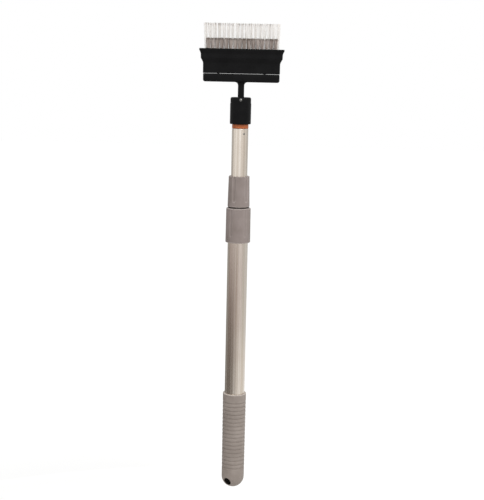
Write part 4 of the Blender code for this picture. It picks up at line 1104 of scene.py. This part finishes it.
# Moulded nylon 66 of the lock's inner pieces: dark brown-grey and slightly waxy
FINISHES["lock_dark"] = moulded(
    "moulded_nylon_66", ("#231F1C", "#2E2A26"), mottle=0.008, grain=0.0005,
    roughness=(0.42, 0.55), relief=0.00002, surface={"IOR": 1.53, "Specular IOR Level": 0.3},
)
# Moulded polypropylene coloured in the mass: orange and half glossy. Its edges are paler, as wear and a
# painted highlight.
FINISHES["tip_orange"] = moulded(
    "moulded_orange_polypropylene", ("#A4501F", "#B8622E"), mottle=0.004, grain=0.0005,
    roughness=(0.34, 0.46), relief=0.00003, surface={"IOR": 1.49},
    marks=(("edge", "#C97A50", 0.3),),
)
# Black polypropylene moulded in a spark-eroded tool: a fine grain breaks its sheen up. The grain is a fifth
# of a millimetre, and it is drawn at half a millimetre, so that it shows.
FINISHES["head_black"] = moulded(
    "grained_black_polypropylene", ("#070708", "#0D0D0E"), mottle=0.012, grain=0.0005,
    roughness=(0.4, 0.54), relief=0.0001, surface={"IOR": 1.49, "Specular IOR Level": 0.12},
)
# Nickel-plated steel, turned and pressed: bright grey, with a faint drift in its shine
FINISHES["rivet_steel"] = moulded(
    "nickel_plated_steel", ("#6B6A68", "#8A8986"), mottle=0.002, grain=0.0003,
    roughness=(0.24, 0.36), relief=0.00001, surface={"Metallic": 1},
)
FINISHES["tube_aluminium"] = drawn_aluminium()
# Clear nylon, drawn from the melt into round filaments: smooth, slightly milky and see-through, so strands
# look grey only where they stand behind each other. The cutter leaves their ends rough and dark.
FINISHES["clear_nylon"] = drawn_nylon(
    "clear_nylon_filament", ("#FDFCFA", "#FBF9F6", "#F1EAE1", "#C9B8A6", "#7A654F"),
    cut_tone="#3A2E24", cut_from=0.87, cut_shade=0.7, roughness=(0.3, 0.42), surface={"IOR": 1.53},
    alphas=(0.2, 1),
)
# Grey nylon, coloured in the melt and drawn the same way: opaque with a soft sheen, and not quite even in
# colour from strand to strand. Its cut ends are darker.
FINISHES["grey_nylon"] = drawn_nylon(
    "grey_nylon_filament", ("#DAD1CC", "#C4B9B3", "#B2A69F", "#93857B"),
    cut_tone="#55463B", cut_from=0.84, cut_shade=0.0, roughness=(0.44, 0.56),
    surface={"IOR": 1.53, "Specular IOR Level": 0.3},
)

inner_pieces = ["lower_thread_sleeve", "lower_collet", "upper_collet", "middle_guide", "inner_guide"]
for node in inner_pieces + ["tuft_block"]:
    NODES[node].data.materials.clear()
    NODES[node].data.materials.append(FINISHES["lock_dark" if node in inner_pieces else "head_black"])

line_of_copies = copies_tree()
bristles = bristle_tree()

make_grip()
make_tube("outer_tube", "grip_section")
make_tube("middle_tube", "middle_section")
make_tube("inner_tube", "inner_section")
make_collar("lower_lock_collar", "lower_collar", LOWER_COLLAR, "middle_tube")
make_collar("upper_lock_collar", "upper_collar", UPPER_COLLAR, "inner_tube")
make_upper_sleeve()
make_tip()
make_tip_rivets(line_of_copies)
make_socket()
make_pivot_rivet()
make_base()
make_holder()
make_screws(line_of_copies)
make_tuft_face(line_of_copies)
make_bristles(bristles, "long_bristles", 0, 0, LONG_ROW, "clear_nylon")
make_bristles(bristles, "front_short_bristles", 1, -1, SHORT_ROW, "grey_nylon")
make_bristles(bristles, "back_short_bristles", 2, 1, SHORT_ROW, "grey_nylon")
